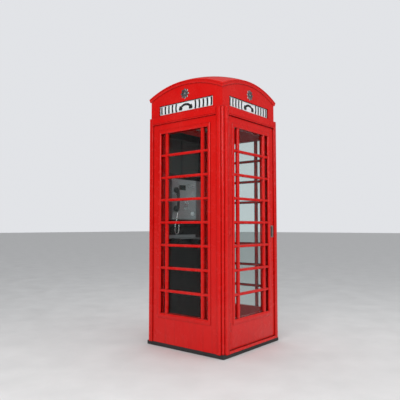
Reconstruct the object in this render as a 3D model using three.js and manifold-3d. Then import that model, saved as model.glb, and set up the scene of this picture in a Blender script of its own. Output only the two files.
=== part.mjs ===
// A cast-iron telephone kiosk with a domed roof, glazed on three sides, with a payphone on its back wall.
// Millimetres, +Z up. The origin is the middle of the underside of the plinth, and the door faces -Y.
// Every wall piece is drawn facing -Y and turned about Z to its own side.

import * as THREE from "three";
import { mergeVertices } from "three/addons/utils/BufferGeometryUtils.js";
import Module from "manifold-3d";

const wasm = await Module();
wasm.setup();

// ---------- Driving dimensions ----------

const WIDTH = 914; // overall, square on plan
const HEIGHT = 2515;
const GAP = 0.3; // between pieces that touch
const OVERLAP = 1; // how far joined pieces run into each other, and a cutter past a face
const MERGE = 1e-3; // vertices closer than this are one
const ROUND = { large: 24, medium: 20, small: 16, pin: 12 }; // sides of a round rod, by its size
const FACE = WIDTH / 2; // from the middle to the outer face of the jambs

const PLINTH_HALF = 445;
const PLINTH_TOP = 35;
const FLOOR_TOP = 58;
const BODY_BOTTOM = PLINTH_TOP + GAP;
const BODY_TOP = 2121; // the top of the posts and heads, under the roof casting
const HEAD_BOTTOM = 2055; // the top of the door opening

// Corner posts: a jamb on each face, a round bead on the corner, and a stop behind the door and the frames.
const OPENING = 375; // half the opening between two posts
const JAMB_EDGE = 415;
const BEAD_CENTRE = 421;
const BEAD_RADIUS = 14;
const STOP_FACE = 396;
const STOP_EDGE = 360;

// The door leaf and the three fixed panels lie back from the jambs.
const PANEL_FACE = 443;
const PANEL_BACK = STOP_FACE + GAP;
const LEAF_BACK = 397.5;
const LEAF_HALF = 371.5;
const LEAF_BOTTOM = 62;
const LEAF_TOP = 2051;

// Glazing: three columns and eight rows of panes.
const WINDOW_HALF = 282;
const WINDOW_BOTTOM = 301;
const WINDOW_TOP = 1966;
const ROWS = 8;
const BAR_HEIGHT = 25;
const MULLION_CENTRE = 212;
const MULLION_WIDTH = 32;
const BAR_DEPTH = 24;
const COLLAR = 4; // the bars' own edge, inside the window
const BORDER = 28; // the moulding round the window
const BORDER_PROUD = 8;
const SILL_BOTTOM = 264;
const GLASS = 5;
const GLASS_FRONT = PANEL_FACE - BAR_DEPTH - GAP;
const REBATE = 6; // the lip behind the glass

// Roof: a dome that four upright planes cut into fascias with curved tops.
const DOME_RADIUS = 1090;
const DOME_CENTRE = HEIGHT - DOME_RADIUS;
const DOME_REACH = 654; // the radius on plan that takes in the lip's corners
const FASCIA = 425;
const LIP = 440;
const LIP_HEIGHT = 16;
const COVE_HEIGHT = 16;
const ROOF_BOTTOM = BODY_TOP + GAP;
const ROOF_WALL = 12;
const DOME_WALL = 18;
const SIGN_HALF = 320;
const SIGN_BOTTOM = 2146;
const SIGN_TOP = 2236;
const SIGN_MARGIN = 12;
const VENT_HEIGHT = 8;
const VENT_DEPTH = 9;
const EMBLEM_HEIGHT = 2305;
const EMBLEM_RADIUS = 44;
const EMBLEM_PROUD = 11;

// Ceiling and lamp.
const CEILING_HALF = 400;
const CEILING = 6;
const LAMP_RADIUS = 95;
const LAMP_DROP = 45;

// Door furniture.
const HINGE_X = -368.2;
const HINGE_Y = -450;
const HINGE_HEIGHTS = { top: 1850, middle: 1050, bottom: 250 };
const HINGE_LENGTH = 90;
const KNUCKLE_LENGTH = 30;
const KNUCKLE_RADIUS = 6.5;
const PIN_RADIUS = 2.75;
const PIN_CLEARANCE = 0.3;
const HINGE_PLATE = { thick: 2.7, ahead: 5, depth: 50, offset: 2, width: 36 };
const PULL = { x: 340, z: 1050, half: 18, halfHeight: 49, depth: 22, wall: 2 };
const PULL_FLANGE = { side: 4, end: 7, thick: 3, lip: 10 }; // the lip covers part of the cup's mouth

// Back wall: the board, the payphone on it, the notices above and the shelf below.
const BOARD = { left: -285, right: 285, bottom: 1165, top: 1575, thick: 12 };
const BOARD_FRONT = PANEL_BACK - GAP - BOARD.thick;
const PHONE = { left: -275, right: 75, bottom: 1170, top: 1560, wall: 4 };
const COVER_FRONT = 284;
const COVER_BACK = 289.7;
const PHONE_BACK = BOARD_FRONT - GAP;
const NOTICE = { left: -255, right: 255, bottom: 1612, top: 1985, thick: 12, border: 12 };
const NOTICE_DIVIDER = { x: -24, half: 8, windowDepth: 6 };
const SHELF = { half: 200, front: 255, top: 981, thick: 6 };
const UPSTAND = { height: 34, thick: 4 };
const GUSSET = { inset: 40, setback: 20, drop: 80, thick: 4 };

const KEY_NAMES = ["1", "2", "3", "4", "5", "6", "7", "8", "9", "star", "0", "hash"];
const KEY = { width: 18, height: 16, pitchX: 24, pitchZ: 22, centreX: -72, topZ: 1338 };
const KEY_FRONT = 279;
const KEY_FLANGE = { margin: 1.3, front: 1.3, back: 3.8 }; // its front and back lie behind the cover
const KEY_SLACK = 0.4;
const DISPLAY = { left: -178, right: -78, bottom: 1455, top: 1505, lap: 3, glass: 3 };
const COIN_SLOT = { x: -30, z: 1500, width: 3.5, height: 30, bezel: 20, bezelProud: 2 };
const PLUNGER_FLANGE = 2.5; // how much wider than its plunger, and how thick
const REJECT = { x: 30, z: 1500, radius: 8, flange: 1.8 };
const HOOK = { radius: 5, flange: 4.8 };
const PLUNGER_SLACK = 0.5;
const RETURN = { x: 30, z: 1225, half: 30, halfHeight: 22, wall: 4, depth: 38 };
const FLAP = { axisY: 292, axisZ: 1243, halfThick: 1.25, sideSlack: 0.5, endSlack: 0.6 };
const FLAP_PIN = { radius: 1.2, hole: 1.6, length: 2.5 };

const HANDSET_X = -230;
const EAR_Z = 1448;
const MOUTH_Z = 1270;
const CAP_RADIUS = 29;
const CAP_FRONT = 256;
const CAP_BACK = 281;
const GRIP = { half: 16, front: 236, back: 262, bottom: 1256, top: 1462 };
const STUB_RADIUS = 7;
const CRADLE = { half: 26, gap: 18, foot: 22, depth: 16 };
const CORD_Y = 262;
const CORD_START = 1232;
const CORD_RADIUS = 4;
const GLAND = { x: -140, y: 325, length: 22, radius: 9, rim: 4, mouth: 5.5 };

// ---------- Materials ----------

const paint = (color, roughness = 0.4) => new THREE.MeshStandardMaterial({ color, roughness, metalness: 0 });
const metal = (color, roughness = 0.35) => new THREE.MeshStandardMaterial({ color, roughness, metalness: 1 });
const clear = (color, opacity) =>
  new THREE.MeshStandardMaterial({ color, roughness: 0.05, transparent: true, opacity });

const RED = paint(0xc0150f, 0.3);
const BLACK = paint(0x17171a, 0.7);
const CREAM = paint(0xd8d4c6, 0.6);
const OPAL = paint(0xeef0f0, 0.2);
const CLEAR = clear(0xd8e4e2, 0.3);
const PEWTER = metal(0x8d8f93, 0.45);
const STEEL = metal(0x9b9ea2, 0.35);
const GREY = paint(0x6f7377, 0.45);
const DARK = paint(0x24262a, 0.5);
const HANDSET = paint(0x121214, 0.35);
const CHROME = metal(0xc8cacd, 0.15);

// ---------- Geometry helpers ----------

/** The closed solid that a three.js geometry bounds. */
function solidOf(geometry) {
  const bare = geometry.clone();
  bare.deleteAttribute("normal");
  bare.deleteAttribute("uv");
  const merged = mergeVertices(bare, MERGE);
  const mesh = new wasm.Mesh({
    numProp: 3,
    vertProperties: merged.attributes.position.array,
    triVerts: new Uint32Array(merged.index.array),
  });
  return new wasm.Manifold(mesh);
}

/** The three.js geometry of a solid's surface. */
function geometryOf(solid) {
  const mesh = solid.getMesh();
  const geometry = new THREE.BufferGeometry();
  geometry.setAttribute("position", new THREE.BufferAttribute(mesh.vertProperties, mesh.numProp));
  geometry.setIndex(new THREE.BufferAttribute(mesh.triVerts, 1));
  geometry.computeVertexNormals();
  return geometry;
}

/** One solid from several that overlap. */
function joined(first, ...rest) {
  const whole = rest.reduce((all, next) => all.add(solidOf(next)), solidOf(first));
  return geometryOf(whole);
}

/** The first solid with the others taken out of it. */
function cut(first, ...tools) {
  const left = tools.reduce((all, tool) => all.subtract(solidOf(tool)), solidOf(first));
  return geometryOf(left);
}

/** What two solids share. */
function common(first, second) {
  return geometryOf(solidOf(first).intersect(solidOf(second)));
}

/** A box between two values on each axis. */
function box(x0, x1, y0, y1, z0, z1) {
  const geometry = new THREE.BoxGeometry(x1 - x0, y1 - y0, z1 - z0);
  return geometry.translate((x0 + x1) / 2, (y0 + y1) / 2, (z0 + z1) / 2);
}

/** A rectangle as a closed outline: a Shape by default, or a Path for a hole. */
function rectangle(u0, u1, v0, v1, Kind = THREE.Shape) {
  return new Kind([
    new THREE.Vector2(u0, v0),
    new THREE.Vector2(u1, v0),
    new THREE.Vector2(u1, v1),
    new THREE.Vector2(u0, v1),
  ]);
}

/** An outline on plan, raised from z0 to z1. */
function upright(shape, z0, z1) {
  const options = { depth: z1 - z0, bevelEnabled: false, curveSegments: 8 };
  return new THREE.ExtrudeGeometry(shape, options).translate(0, 0, z0);
}

/** An outline in x and z, extruded from front to back along y. */
function facing(shape, front, back) {
  const options = { depth: back - front, bevelEnabled: false };
  return new THREE.ExtrudeGeometry(shape, options).rotateX(Math.PI / 2).translate(0, back, 0);
}

/** An outline in y and z, extruded from x0 to x1. */
function sideways(shape, x0, x1) {
  const basis = new THREE.Matrix4().makeBasis(
    new THREE.Vector3(0, 1, 0),
    new THREE.Vector3(0, 0, 1),
    new THREE.Vector3(1, 0, 0),
  );
  const options = { depth: x1 - x0, bevelEnabled: false };
  return new THREE.ExtrudeGeometry(shape, options).applyMatrix4(basis).translate(x0, 0, 0);
}

/** A round rod along y between front and back. */
function rodY(x, z, radius, front, back, sides = ROUND.large) {
  const rod = new THREE.CylinderGeometry(radius, radius, back - front, sides);
  return rod.translate(x, (front + back) / 2, z);
}

/** A round rod along z between z0 and z1. */
function rodZ(x, y, radius, z0, z1, sides) {
  const rod = new THREE.CylinderGeometry(radius, radius, z1 - z0, sides).rotateX(Math.PI / 2);
  return rod.translate(x, y, (z0 + z1) / 2);
}

/** A round rod along x between x0 and x1. */
function rodX(y, z, radius, x0, x1, sides = ROUND.pin) {
  const rod = new THREE.CylinderGeometry(radius, radius, x1 - x0, sides).rotateZ(Math.PI / 2);
  return rod.translate((x0 + x1) / 2, y, z);
}

/** A profile of [radius, height] points turned about the z axis. */
function turned(profile, sides) {
  const points = profile.map(([radius, height]) => new THREE.Vector2(radius, height));
  return new THREE.LatheGeometry(points, sides).rotateX(Math.PI / 2);
}

/** A square upright block, as wide as twice the half given. */
const squareBlock = (half, z0, z1) => box(-half, half, -half, half, z0, z1);

// ---------- The pieces, by name ----------

const kiosk = new THREE.Group();

/** Adds one named piece, turned about z to its side. */
function piece(name, material, geometry, turn = 0) {
  const mesh = new THREE.Mesh(geometry, material);
  mesh.name = name;
  mesh.rotation.z = turn;
  kiosk.add(mesh);
}

const SIDES = { front: 0, right: Math.PI / 2, back: Math.PI, left: -Math.PI / 2 };

// ---------- Base and posts ----------

/** The concrete base: a plinth with the floor raised on it between the posts. */
function basePlinth() {
  const floor = new THREE.Shape();
  const inner = STOP_EDGE - GAP;
  floor.setFromPoints(
    [
      [inner, STOP_FACE], [inner, inner], [STOP_FACE, inner],
      [STOP_FACE, -inner], [inner, -inner], [inner, -STOP_FACE],
      [-inner, -STOP_FACE], [-inner, -inner], [-STOP_FACE, -inner],
      [-STOP_FACE, inner], [-inner, inner], [-inner, STOP_FACE],
    ].map(([x, y]) => new THREE.Vector2(x, y)),
  );
  return joined(squareBlock(PLINTH_HALF, 0, PLINTH_TOP), upright(floor, PLINTH_TOP / 2, FLOOR_TOP));
}

/** A corner post, drawn for the corner at +x, +y. */
function cornerPost() {
  const shape = new THREE.Shape();
  const sweep = Math.acos((JAMB_EDGE - BEAD_CENTRE) / BEAD_RADIUS);
  shape.moveTo(OPENING, FACE);
  shape.lineTo(JAMB_EDGE, FACE);
  shape.absarc(BEAD_CENTRE, BEAD_CENTRE, BEAD_RADIUS, sweep, Math.PI / 2 - sweep, true);
  shape.lineTo(FACE, JAMB_EDGE);
  shape.lineTo(FACE, OPENING);
  shape.lineTo(STOP_FACE, OPENING);
  shape.lineTo(STOP_FACE, STOP_EDGE);
  shape.lineTo(STOP_EDGE, STOP_EDGE);
  shape.lineTo(STOP_EDGE, STOP_FACE);
  shape.lineTo(OPENING, STOP_FACE);
  return upright(shape, BODY_BOTTOM, BODY_TOP);
}

/** The lintel over the door, with the stop that the leaf closes against. */
function doorLintel() {
  const stopDepth = 15;
  const stopDrop = 15;
  const edge = STOP_EDGE - GAP;
  return joined(
    box(-OPENING + GAP, OPENING - GAP, -FACE, -PANEL_BACK, HEAD_BOTTOM, BODY_TOP),
    box(-edge, edge, -PANEL_BACK - OVERLAP, -PANEL_BACK + stopDepth, HEAD_BOTTOM - stopDrop, BODY_TOP),
  );
}

/** The iron threshold under the door. */
function threshold() {
  return box(-OPENING + GAP, OPENING - GAP, -FACE, -PANEL_BACK, BODY_BOTTOM, FLOOR_TOP);
}

// ---------- Panels, door leaf and glazing ----------

/** The window opening through a panel, with a lip left behind the glass. */
function windowCut(back) {
  const lipFront = -(GLASS_FRONT - GLASS - GAP);
  return joined(
    box(-WINDOW_HALF, WINDOW_HALF, -FACE, lipFront, WINDOW_BOTTOM, WINDOW_TOP),
    box(
      -WINDOW_HALF + REBATE, WINDOW_HALF - REBATE,
      lipFront - OVERLAP, -back + OVERLAP,
      WINDOW_BOTTOM + REBATE, WINDOW_TOP - REBATE,
    ),
  );
}

/** A fixed panel with its head, before its window is cut. */
function blankPanel() {
  const edge = OPENING - GAP;
  return joined(
    box(-edge, edge, -PANEL_FACE, -PANEL_BACK, BODY_BOTTOM, BODY_TOP),
    box(-edge, edge, -FACE, -PANEL_BACK, HEAD_BOTTOM, BODY_TOP),
  );
}

/** The opening that the bars' collar leaves, as a hole in an outline. */
function insideCollar() {
  const half = WINDOW_HALF - COLLAR;
  return rectangle(-half, half, WINDOW_BOTTOM + COLLAR, WINDOW_TOP - COLLAR, THREE.Path);
}

/** The moulding round a window, deeper below as a sill, proud of the panel. */
function windowBorder(back) {
  const shape = rectangle(-WINDOW_HALF - BORDER, WINDOW_HALF + BORDER, SILL_BOTTOM, WINDOW_TOP + BORDER);
  shape.holes.push(insideCollar());
  return facing(shape, -PANEL_FACE - BORDER_PROUD, back);
}

/** The glazing bars: seven bars and two mullions in a collar, with the border that holds them. */
function glazingBars() {
  const front = -PANEL_FACE;
  const back = front + BAR_DEPTH;
  const edge = WINDOW_HALF - GAP;
  const pitch = (WINDOW_TOP - WINDOW_BOTTOM) / ROWS;
  const collar = rectangle(-edge, edge, WINDOW_BOTTOM + GAP, WINDOW_TOP - GAP);
  collar.holes.push(insideCollar());
  const bars = [];
  for (let row = 1; row < ROWS; row += 1) {
    const centre = WINDOW_BOTTOM + row * pitch;
    const [bottom, top] = [centre - BAR_HEIGHT / 2, centre + BAR_HEIGHT / 2];
    bars.push(box(-edge + OVERLAP, edge - OVERLAP, front, back, bottom, top));
  }
  for (const centre of [-MULLION_CENTRE, MULLION_CENTRE]) {
    const half = MULLION_WIDTH / 2;
    const [bottom, top] = [WINDOW_BOTTOM + OVERLAP, WINDOW_TOP - OVERLAP];
    bars.push(box(centre - half, centre + half, front, back, bottom, top));
  }
  return joined(facing(collar, front - OVERLAP, back), ...bars, windowBorder(front - GAP));
}

/** The glass behind one set of bars. */
function windowGlass() {
  const inset = 0.5;
  return box(
    -WINDOW_HALF + inset, WINDOW_HALF - inset,
    -GLASS_FRONT, -GLASS_FRONT + GLASS,
    WINDOW_BOTTOM + inset, WINDOW_TOP - inset,
  );
}

/** The back panel: a blank with a shallow pocket, and the same moulding round it as the windows have. */
function backPanel() {
  const pocketDepth = 18;
  const floor = -PANEL_FACE + pocketDepth;
  const pocket = box(-WINDOW_HALF, WINDOW_HALF, -FACE, floor, WINDOW_BOTTOM, WINDOW_TOP);
  return cut(joined(blankPanel(), windowBorder(-PANEL_FACE + OVERLAP)), pocket);
}

/** A block at the cup pull's place, from half its width and half its height. */
function pullBlock(half, halfHeight, front, back) {
  return box(PULL.x - half, PULL.x + half, front, back, PULL.z - halfHeight, PULL.z + halfHeight);
}

/** The teak door leaf, with the pocket for its cup pull. */
function doorLeaf() {
  const leaf = box(-LEAF_HALF, LEAF_HALF, -PANEL_FACE, -LEAF_BACK, LEAF_BOTTOM, LEAF_TOP);
  const pocket = pullBlock(PULL.half + GAP, PULL.halfHeight + GAP, -FACE, -PANEL_FACE + PULL.depth);
  return cut(leaf, windowCut(LEAF_BACK), pocket);
}

/** The cup pull: a flange on the leaf, and a cup behind it with a lip that fingers hook under. */
function doorPull() {
  const { half, halfHeight, depth, wall } = PULL;
  const { side, end, thick, lip } = PULL_FLANGE;
  const face = -PANEL_FACE - GAP;
  const flange = pullBlock(half + side, halfHeight + end, face - thick, face);
  const cup = pullBlock(half, halfHeight, face - OVERLAP, face + depth);
  const hollow = pullBlock(half - wall, halfHeight - wall, face, face + depth - wall);
  const mouth = common(
    pullBlock(half - wall, halfHeight - wall, face - thick - OVERLAP, face + OVERLAP),
    pullBlock(half - wall, halfHeight, -FACE, face + OVERLAP).translate(-lip, 0, 0),
  );
  return cut(joined(flange, cup), hollow, mouth);
}

// ---------- Hinges ----------

/** The fixed half of a hinge: a plate on the jamb, two knuckles and the pin. */
function hingeFrameHalf(height) {
  const half = HINGE_LENGTH / 2;
  const inner = KNUCKLE_LENGTH / 2 + GAP;
  const left = -OPENING + GAP;
  const front = HINGE_Y - HINGE_PLATE.ahead;
  const plate = box(
    left, left + HINGE_PLATE.thick,
    front, front + HINGE_PLATE.depth,
    height - half, height + half,
  );
  const barrel = rodZ(HINGE_X, HINGE_Y, KNUCKLE_RADIUS, height - half, height + half, ROUND.medium);
  const between = rodZ(HINGE_X, HINGE_Y, KNUCKLE_RADIUS + GAP, height - inner, height + inner, ROUND.medium);
  const pin = rodZ(HINGE_X, HINGE_Y, PIN_RADIUS, height - half, height + half, ROUND.small);
  return joined(cut(joined(plate, barrel), between), pin);
}

/** The moving half of a hinge: a plate on the leaf and the middle knuckle. */
function hingeDoorHalf(height) {
  const half = KNUCKLE_LENGTH / 2;
  const back = -PANEL_FACE - GAP;
  const left = HINGE_X + HINGE_PLATE.offset;
  const plate = box(
    left, left + HINGE_PLATE.width,
    back - HINGE_PLATE.thick, back,
    height - half, height + half,
  );
  const knuckle = rodZ(HINGE_X, HINGE_Y, KNUCKLE_RADIUS, height - half, height + half, ROUND.medium);
  const [below, above] = [height - half - OVERLAP, height + half + OVERLAP];
  const bore = rodZ(HINGE_X, HINGE_Y, PIN_RADIUS + PIN_CLEARANCE, below, above, ROUND.small);
  return cut(joined(plate, knuckle), bore);
}

// ---------- Roof ----------

/** A round block from a flat bottom up to the dome's sphere, with the radius given. */
function dome(radius, bottom) {
  const reach = Math.asin(DOME_REACH / DOME_RADIUS);
  const steps = 7;
  const profile = [[0, bottom], [radius * Math.sin(reach), bottom]];
  for (let step = 0; step <= steps; step += 1) {
    const angle = reach * (1 - step / steps);
    profile.push([radius * Math.sin(angle), DOME_CENTRE + radius * Math.cos(angle)]);
  }
  return turned(profile, 48);
}

/** The part of the dome between two radii that lies over a square. */
function domeSlab(half, outer, inner) {
  const block = common(squareBlock(half, ROOF_BOTTOM, HEIGHT + OVERLAP), dome(outer, ROOF_BOTTOM));
  return cut(block, dome(inner, ROOF_BOTTOM - OVERLAP));
}

/** The roof casting: fascias, cove, lip and dome, hollow below, with four sign openings and vent grooves. */
function roofCasting() {
  const underLip = DOME_RADIUS - LIP_HEIGHT;
  const coveHalf = (LIP + FASCIA) / 2;
  const fascias = common(
    squareBlock(FASCIA, ROOF_BOTTOM, HEIGHT),
    dome(DOME_RADIUS - LIP_HEIGHT / 2, ROOF_BOTTOM),
  );
  const cove = domeSlab(coveHalf, underLip + OVERLAP, underLip - COVE_HEIGHT);
  const lip = domeSlab(LIP, DOME_RADIUS, underLip);
  const hollow = common(
    squareBlock(FASCIA - ROOF_WALL, ROOF_BOTTOM - OVERLAP, HEIGHT),
    dome(DOME_RADIUS - DOME_WALL, ROOF_BOTTOM - OVERLAP),
  );
  const signs = box(-SIGN_HALF, SIGN_HALF, -LIP, LIP, SIGN_BOTTOM, SIGN_TOP);
  const ventBottom = ROOF_BOTTOM - OVERLAP;
  const vent = box(-SIGN_HALF, SIGN_HALF, -LIP, -FASCIA + VENT_DEPTH, ventBottom, ROOF_BOTTOM + VENT_HEIGHT);
  const vents = Object.values(SIDES).map((turn) => vent.clone().rotateZ(turn));
  const solid = joined(fascias, cove, lip);
  return cut(solid, hollow, signs, signs.clone().rotateZ(Math.PI / 2), ...vents);
}

/** One opal sign glass, set against the inside of the fascia. */
function signGlass() {
  const front = -FASCIA + ROOF_WALL + GAP;
  const half = SIGN_HALF + SIGN_MARGIN;
  return box(-half, half, front, front + GLASS, SIGN_BOTTOM - SIGN_MARGIN, SIGN_TOP + SIGN_MARGIN);
}

/** The cast rosette on a fascia: eight petals round a boss. */
function roofEmblem() {
  const petals = 8;
  const pointsPerPetal = 5;
  const lobe = 7;
  const outline = [];
  for (let i = 0; i < petals * pointsPerPetal; i += 1) {
    const angle = (i / (petals * pointsPerPetal)) * 2 * Math.PI;
    const radius = EMBLEM_RADIUS + lobe * Math.cos(petals * angle);
    outline.push(new THREE.Vector2(radius * Math.cos(angle), EMBLEM_HEIGHT + radius * Math.sin(angle)));
  }
  const back = -FASCIA - GAP;
  return joined(
    facing(new THREE.Shape(outline), back - EMBLEM_PROUD / 2, back),
    rodY(0, EMBLEM_HEIGHT, EMBLEM_RADIUS / 2, back - EMBLEM_PROUD, back - OVERLAP, ROUND.small),
  );
}

/** The lamp's opal bowl under the ceiling. */
function ceilingLamp() {
  const top = ROOF_BOTTOM - GAP;
  const steps = 6;
  const profile = [];
  for (let step = 0; step <= steps; step += 1) {
    const angle = (step / steps) * (Math.PI / 2);
    profile.push([LAMP_RADIUS * Math.sin(angle), top - LAMP_DROP * Math.cos(angle)]);
  }
  profile.push([0, top]);
  return turned(profile, 32);
}

// ---------- Back wall ----------

/** The steel board that carries the payphone. */
function backboard() {
  return box(BOARD.left, BOARD.right, BOARD_FRONT, BOARD_FRONT + BOARD.thick, BOARD.bottom, BOARD.top);
}

/** The notice frame: two shallow windows side by side. */
function noticeFrame() {
  const { left, right, bottom, top, thick, border } = NOTICE;
  const { x, half, windowDepth } = NOTICE_DIVIDER;
  const back = PANEL_BACK - GAP;
  const front = back - thick;
  const window = (from, to) =>
    box(from, to, front - OVERLAP, front + windowDepth, bottom + border, top - border);
  const frame = box(left, right, front, back, bottom, top);
  return cut(frame, window(left + border, x - half), window(x + half, right - border));
}

/** The parcel shelf: a plate with an upstand at the back and two gussets below. */
function shelf() {
  const back = PANEL_BACK - GAP;
  const under = SHELF.top - SHELF.thick;
  const upstand = { front: back - UPSTAND.thick, top: SHELF.top + UPSTAND.height };
  const profile = (points) => new THREE.Shape(points.map(([y, z]) => new THREE.Vector2(y, z)));
  const plate = profile([
    [SHELF.front, under], [back, under], [back, upstand.top],
    [upstand.front, upstand.top], [upstand.front, SHELF.top], [SHELF.front, SHELF.top],
  ]);
  const gusset = profile([
    [SHELF.front + GUSSET.setback, under + OVERLAP],
    [back, under - GUSSET.drop],
    [back, under + OVERLAP],
  ]);
  const outer = SHELF.half - GUSSET.inset;
  const inner = outer - GUSSET.thick;
  return joined(
    sideways(plate, -SHELF.half, SHELF.half),
    sideways(gusset, -outer, -inner),
    sideways(gusset, inner, outer),
  );
}

// ---------- Payphone ----------

const keyPlace = (index) => ({
  x: KEY.centreX + ((index % 3) - 1) * KEY.pitchX,
  z: KEY.topZ - Math.floor(index / 3) * KEY.pitchZ,
});

/** A block at a key's place, wider than the key by the margin all round. */
function keyBlock({ x, z }, margin, front, back) {
  const halfX = KEY.width / 2 + margin;
  const halfZ = KEY.height / 2 + margin;
  return box(x - halfX, x + halfX, front, back, z - halfZ, z + halfZ);
}

/** A key: a cap through the cover, with a flange behind that keeps it in. */
function key(place) {
  const { margin, front, back } = KEY_FLANGE;
  return joined(
    keyBlock(place, 0, KEY_FRONT, COVER_BACK + back - OVERLAP),
    keyBlock(place, margin, COVER_BACK + front, COVER_BACK + back),
  );
}

/** The case: a steel box open at the front. */
function payphoneCase() {
  const { left, right, bottom, top, wall } = PHONE;
  const front = COVER_BACK + GAP;
  return cut(
    box(left, right, front, PHONE_BACK, bottom, top),
    box(left + wall, right - wall, front - OVERLAP, PHONE_BACK - wall, bottom + wall, top - wall),
  );
}

/** A block at the coin return's place, larger than its mouth by the margin all round. */
function returnBlock(margin, front, back) {
  const { x, z } = RETURN;
  const half = RETURN.half + margin;
  const halfHeight = RETURN.halfHeight + margin;
  return box(x - half, x + half, front, back, z - halfHeight, z + halfHeight);
}

/** The front cover, with its holes, the coin slot's bezel and the coin return's pocket. */
function payphoneCover() {
  const plate = box(PHONE.left, PHONE.right, COVER_FRONT, COVER_BACK, PHONE.bottom, PHONE.top);
  const bezelFront = COVER_FRONT - COIN_SLOT.bezelProud;
  const bezel = rodY(COIN_SLOT.x, COIN_SLOT.z, COIN_SLOT.bezel, bezelFront, COVER_FRONT + OVERLAP);
  const { x, half, wall, depth } = RETURN;
  const pocket = returnBlock(wall, COVER_BACK - OVERLAP, COVER_BACK + depth);
  const hollow = returnBlock(0, COVER_FRONT - OVERLAP, COVER_BACK + depth - wall);
  const through = [bezelFront - OVERLAP, COVER_BACK + OVERLAP];
  const slot = box(
    COIN_SLOT.x - COIN_SLOT.width / 2, COIN_SLOT.x + COIN_SLOT.width / 2,
    ...through,
    COIN_SLOT.z - COIN_SLOT.height / 2, COIN_SLOT.z + COIN_SLOT.height / 2,
  );
  const window = box(DISPLAY.left, DISPLAY.right, ...through, DISPLAY.bottom, DISPLAY.top);
  const reach = half + wall + OVERLAP;
  const pinHoles = rodX(FLAP.axisY, FLAP.axisZ, FLAP_PIN.hole, x - reach, x + reach);
  return cut(
    joined(plate, bezel, pocket),
    hollow,
    slot,
    window,
    pinHoles,
    rodY(REJECT.x, REJECT.z, REJECT.radius + PLUNGER_SLACK, ...through),
    rodY(HANDSET_X, EAR_Z, HOOK.radius + PLUNGER_SLACK, ...through, ROUND.small),
    ...KEY_NAMES.map((_, index) => keyBlock(keyPlace(index), KEY_SLACK, ...through)),
  );
}

/** The clear window behind the cover, in front of the display. */
function displayWindow() {
  const { left, right, bottom, top, lap, glass } = DISPLAY;
  const front = COVER_BACK + GAP;
  return box(left - lap, right + lap, front, front + glass, bottom - lap, top + lap);
}

/** A round plunger through the cover, with a flange behind it. */
function plunger(x, z, radius, front, flangeFront) {
  return joined(
    rodY(x, z, radius, front, flangeFront + OVERLAP, ROUND.medium),
    rodY(x, z, radius + PLUNGER_FLANGE, flangeFront, flangeFront + PLUNGER_FLANGE, ROUND.medium),
  );
}

/** The coin return's flap, hung on two pins near its top edge. */
function coinReturnFlap() {
  const { axisY, axisZ, halfThick, sideSlack, endSlack } = FLAP;
  const { x, z } = RETURN;
  const edge = RETURN.half - sideSlack;
  const end = RETURN.halfHeight - endSlack;
  const reach = edge + FLAP_PIN.length;
  return joined(
    box(x - edge, x + edge, axisY - halfThick, axisY + halfThick, z - end, z + end),
    rodX(axisY, axisZ, FLAP_PIN.radius, x - reach, x + reach),
  );
}

/** The fork on the cover that the handset's ear cap hangs in. */
function handsetCradle() {
  const { half, gap, foot, depth } = CRADLE;
  const top = EAR_Z - Math.sqrt(CAP_RADIUS ** 2 - gap ** 2) - GAP;
  const outline = [
    [-half, top - foot], [half, top - foot], [half, top],
    [gap, top], [gap, top - depth], [-gap, top - depth],
    [-gap, top], [-half, top],
  ].map(([x, z]) => new THREE.Vector2(HANDSET_X + x, z));
  return facing(new THREE.Shape(outline), GRIP.back + OVERLAP, COVER_FRONT - GAP);
}

/** The handset, hanging upright: two round caps on a grip, and the stub that its cord leaves by. */
function handset() {
  const { half, front, back, bottom, top } = GRIP;
  return joined(
    box(HANDSET_X - half, HANDSET_X + half, front, back, bottom, top),
    rodY(HANDSET_X, EAR_Z, CAP_RADIUS, CAP_FRONT, CAP_BACK),
    rodY(HANDSET_X, MOUTH_Z, CAP_RADIUS, CAP_FRONT, CAP_BACK),
    rodZ(HANDSET_X, CORD_Y, STUB_RADIUS, CORD_START, MOUTH_Z, ROUND.small),
  );
}

/** The armoured cord's route, from the handset's stub down round a hanging loop to the gland. */
const CORD_ROUTE = [
  [HANDSET_X, CORD_Y, CORD_START - GAP],
  [-230, 262, 1216],
  [-231, 262, 1198],
  [-236, 262.5, 1176],
  [-244, 263, 1152],
  [-252, 264, 1126],
  [-257, 266, 1098],
  [-257, 269, 1070],
  [-248, 274, 1046],
  [-231, 280, 1030],
  [-209, 287, 1024],
  [-187, 295, 1029],
  [-168, 303, 1044],
  [-154, 311, 1066],
  [-146, 318, 1092],
  [-141, 323, 1118],
  [-140, 325, 1134],
  [GLAND.x, GLAND.y, PHONE.bottom - GLAND.length - 2 * GAP],
];

/** The cord as a plain tube on its route. */
function handsetCord() {
  const route = new THREE.CatmullRomCurve3(CORD_ROUTE.map((point) => new THREE.Vector3(...point)));
  const sides = 8;
  const section = [];
  for (let side = 0; side < sides; side += 1) {
    const angle = (side / sides) * 2 * Math.PI;
    section.push(new THREE.Vector2(CORD_RADIUS * Math.cos(angle), CORD_RADIUS * Math.sin(angle)));
  }
  const options = { steps: 28, extrudePath: route, bevelEnabled: false };
  return new THREE.ExtrudeGeometry(new THREE.Shape(section), options);
}

/** The tapered gland under the case that the cord goes into. */
function cordGland() {
  const top = PHONE.bottom - GAP;
  const profile = [
    [0, top - GLAND.length], [GLAND.mouth, top - GLAND.length],
    [GLAND.radius, top - GLAND.rim], [GLAND.radius, top], [0, top],
  ];
  return turned(profile, ROUND.medium).translate(GLAND.x, GLAND.y, 0);
}

// ---------- Assembly ----------

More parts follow.
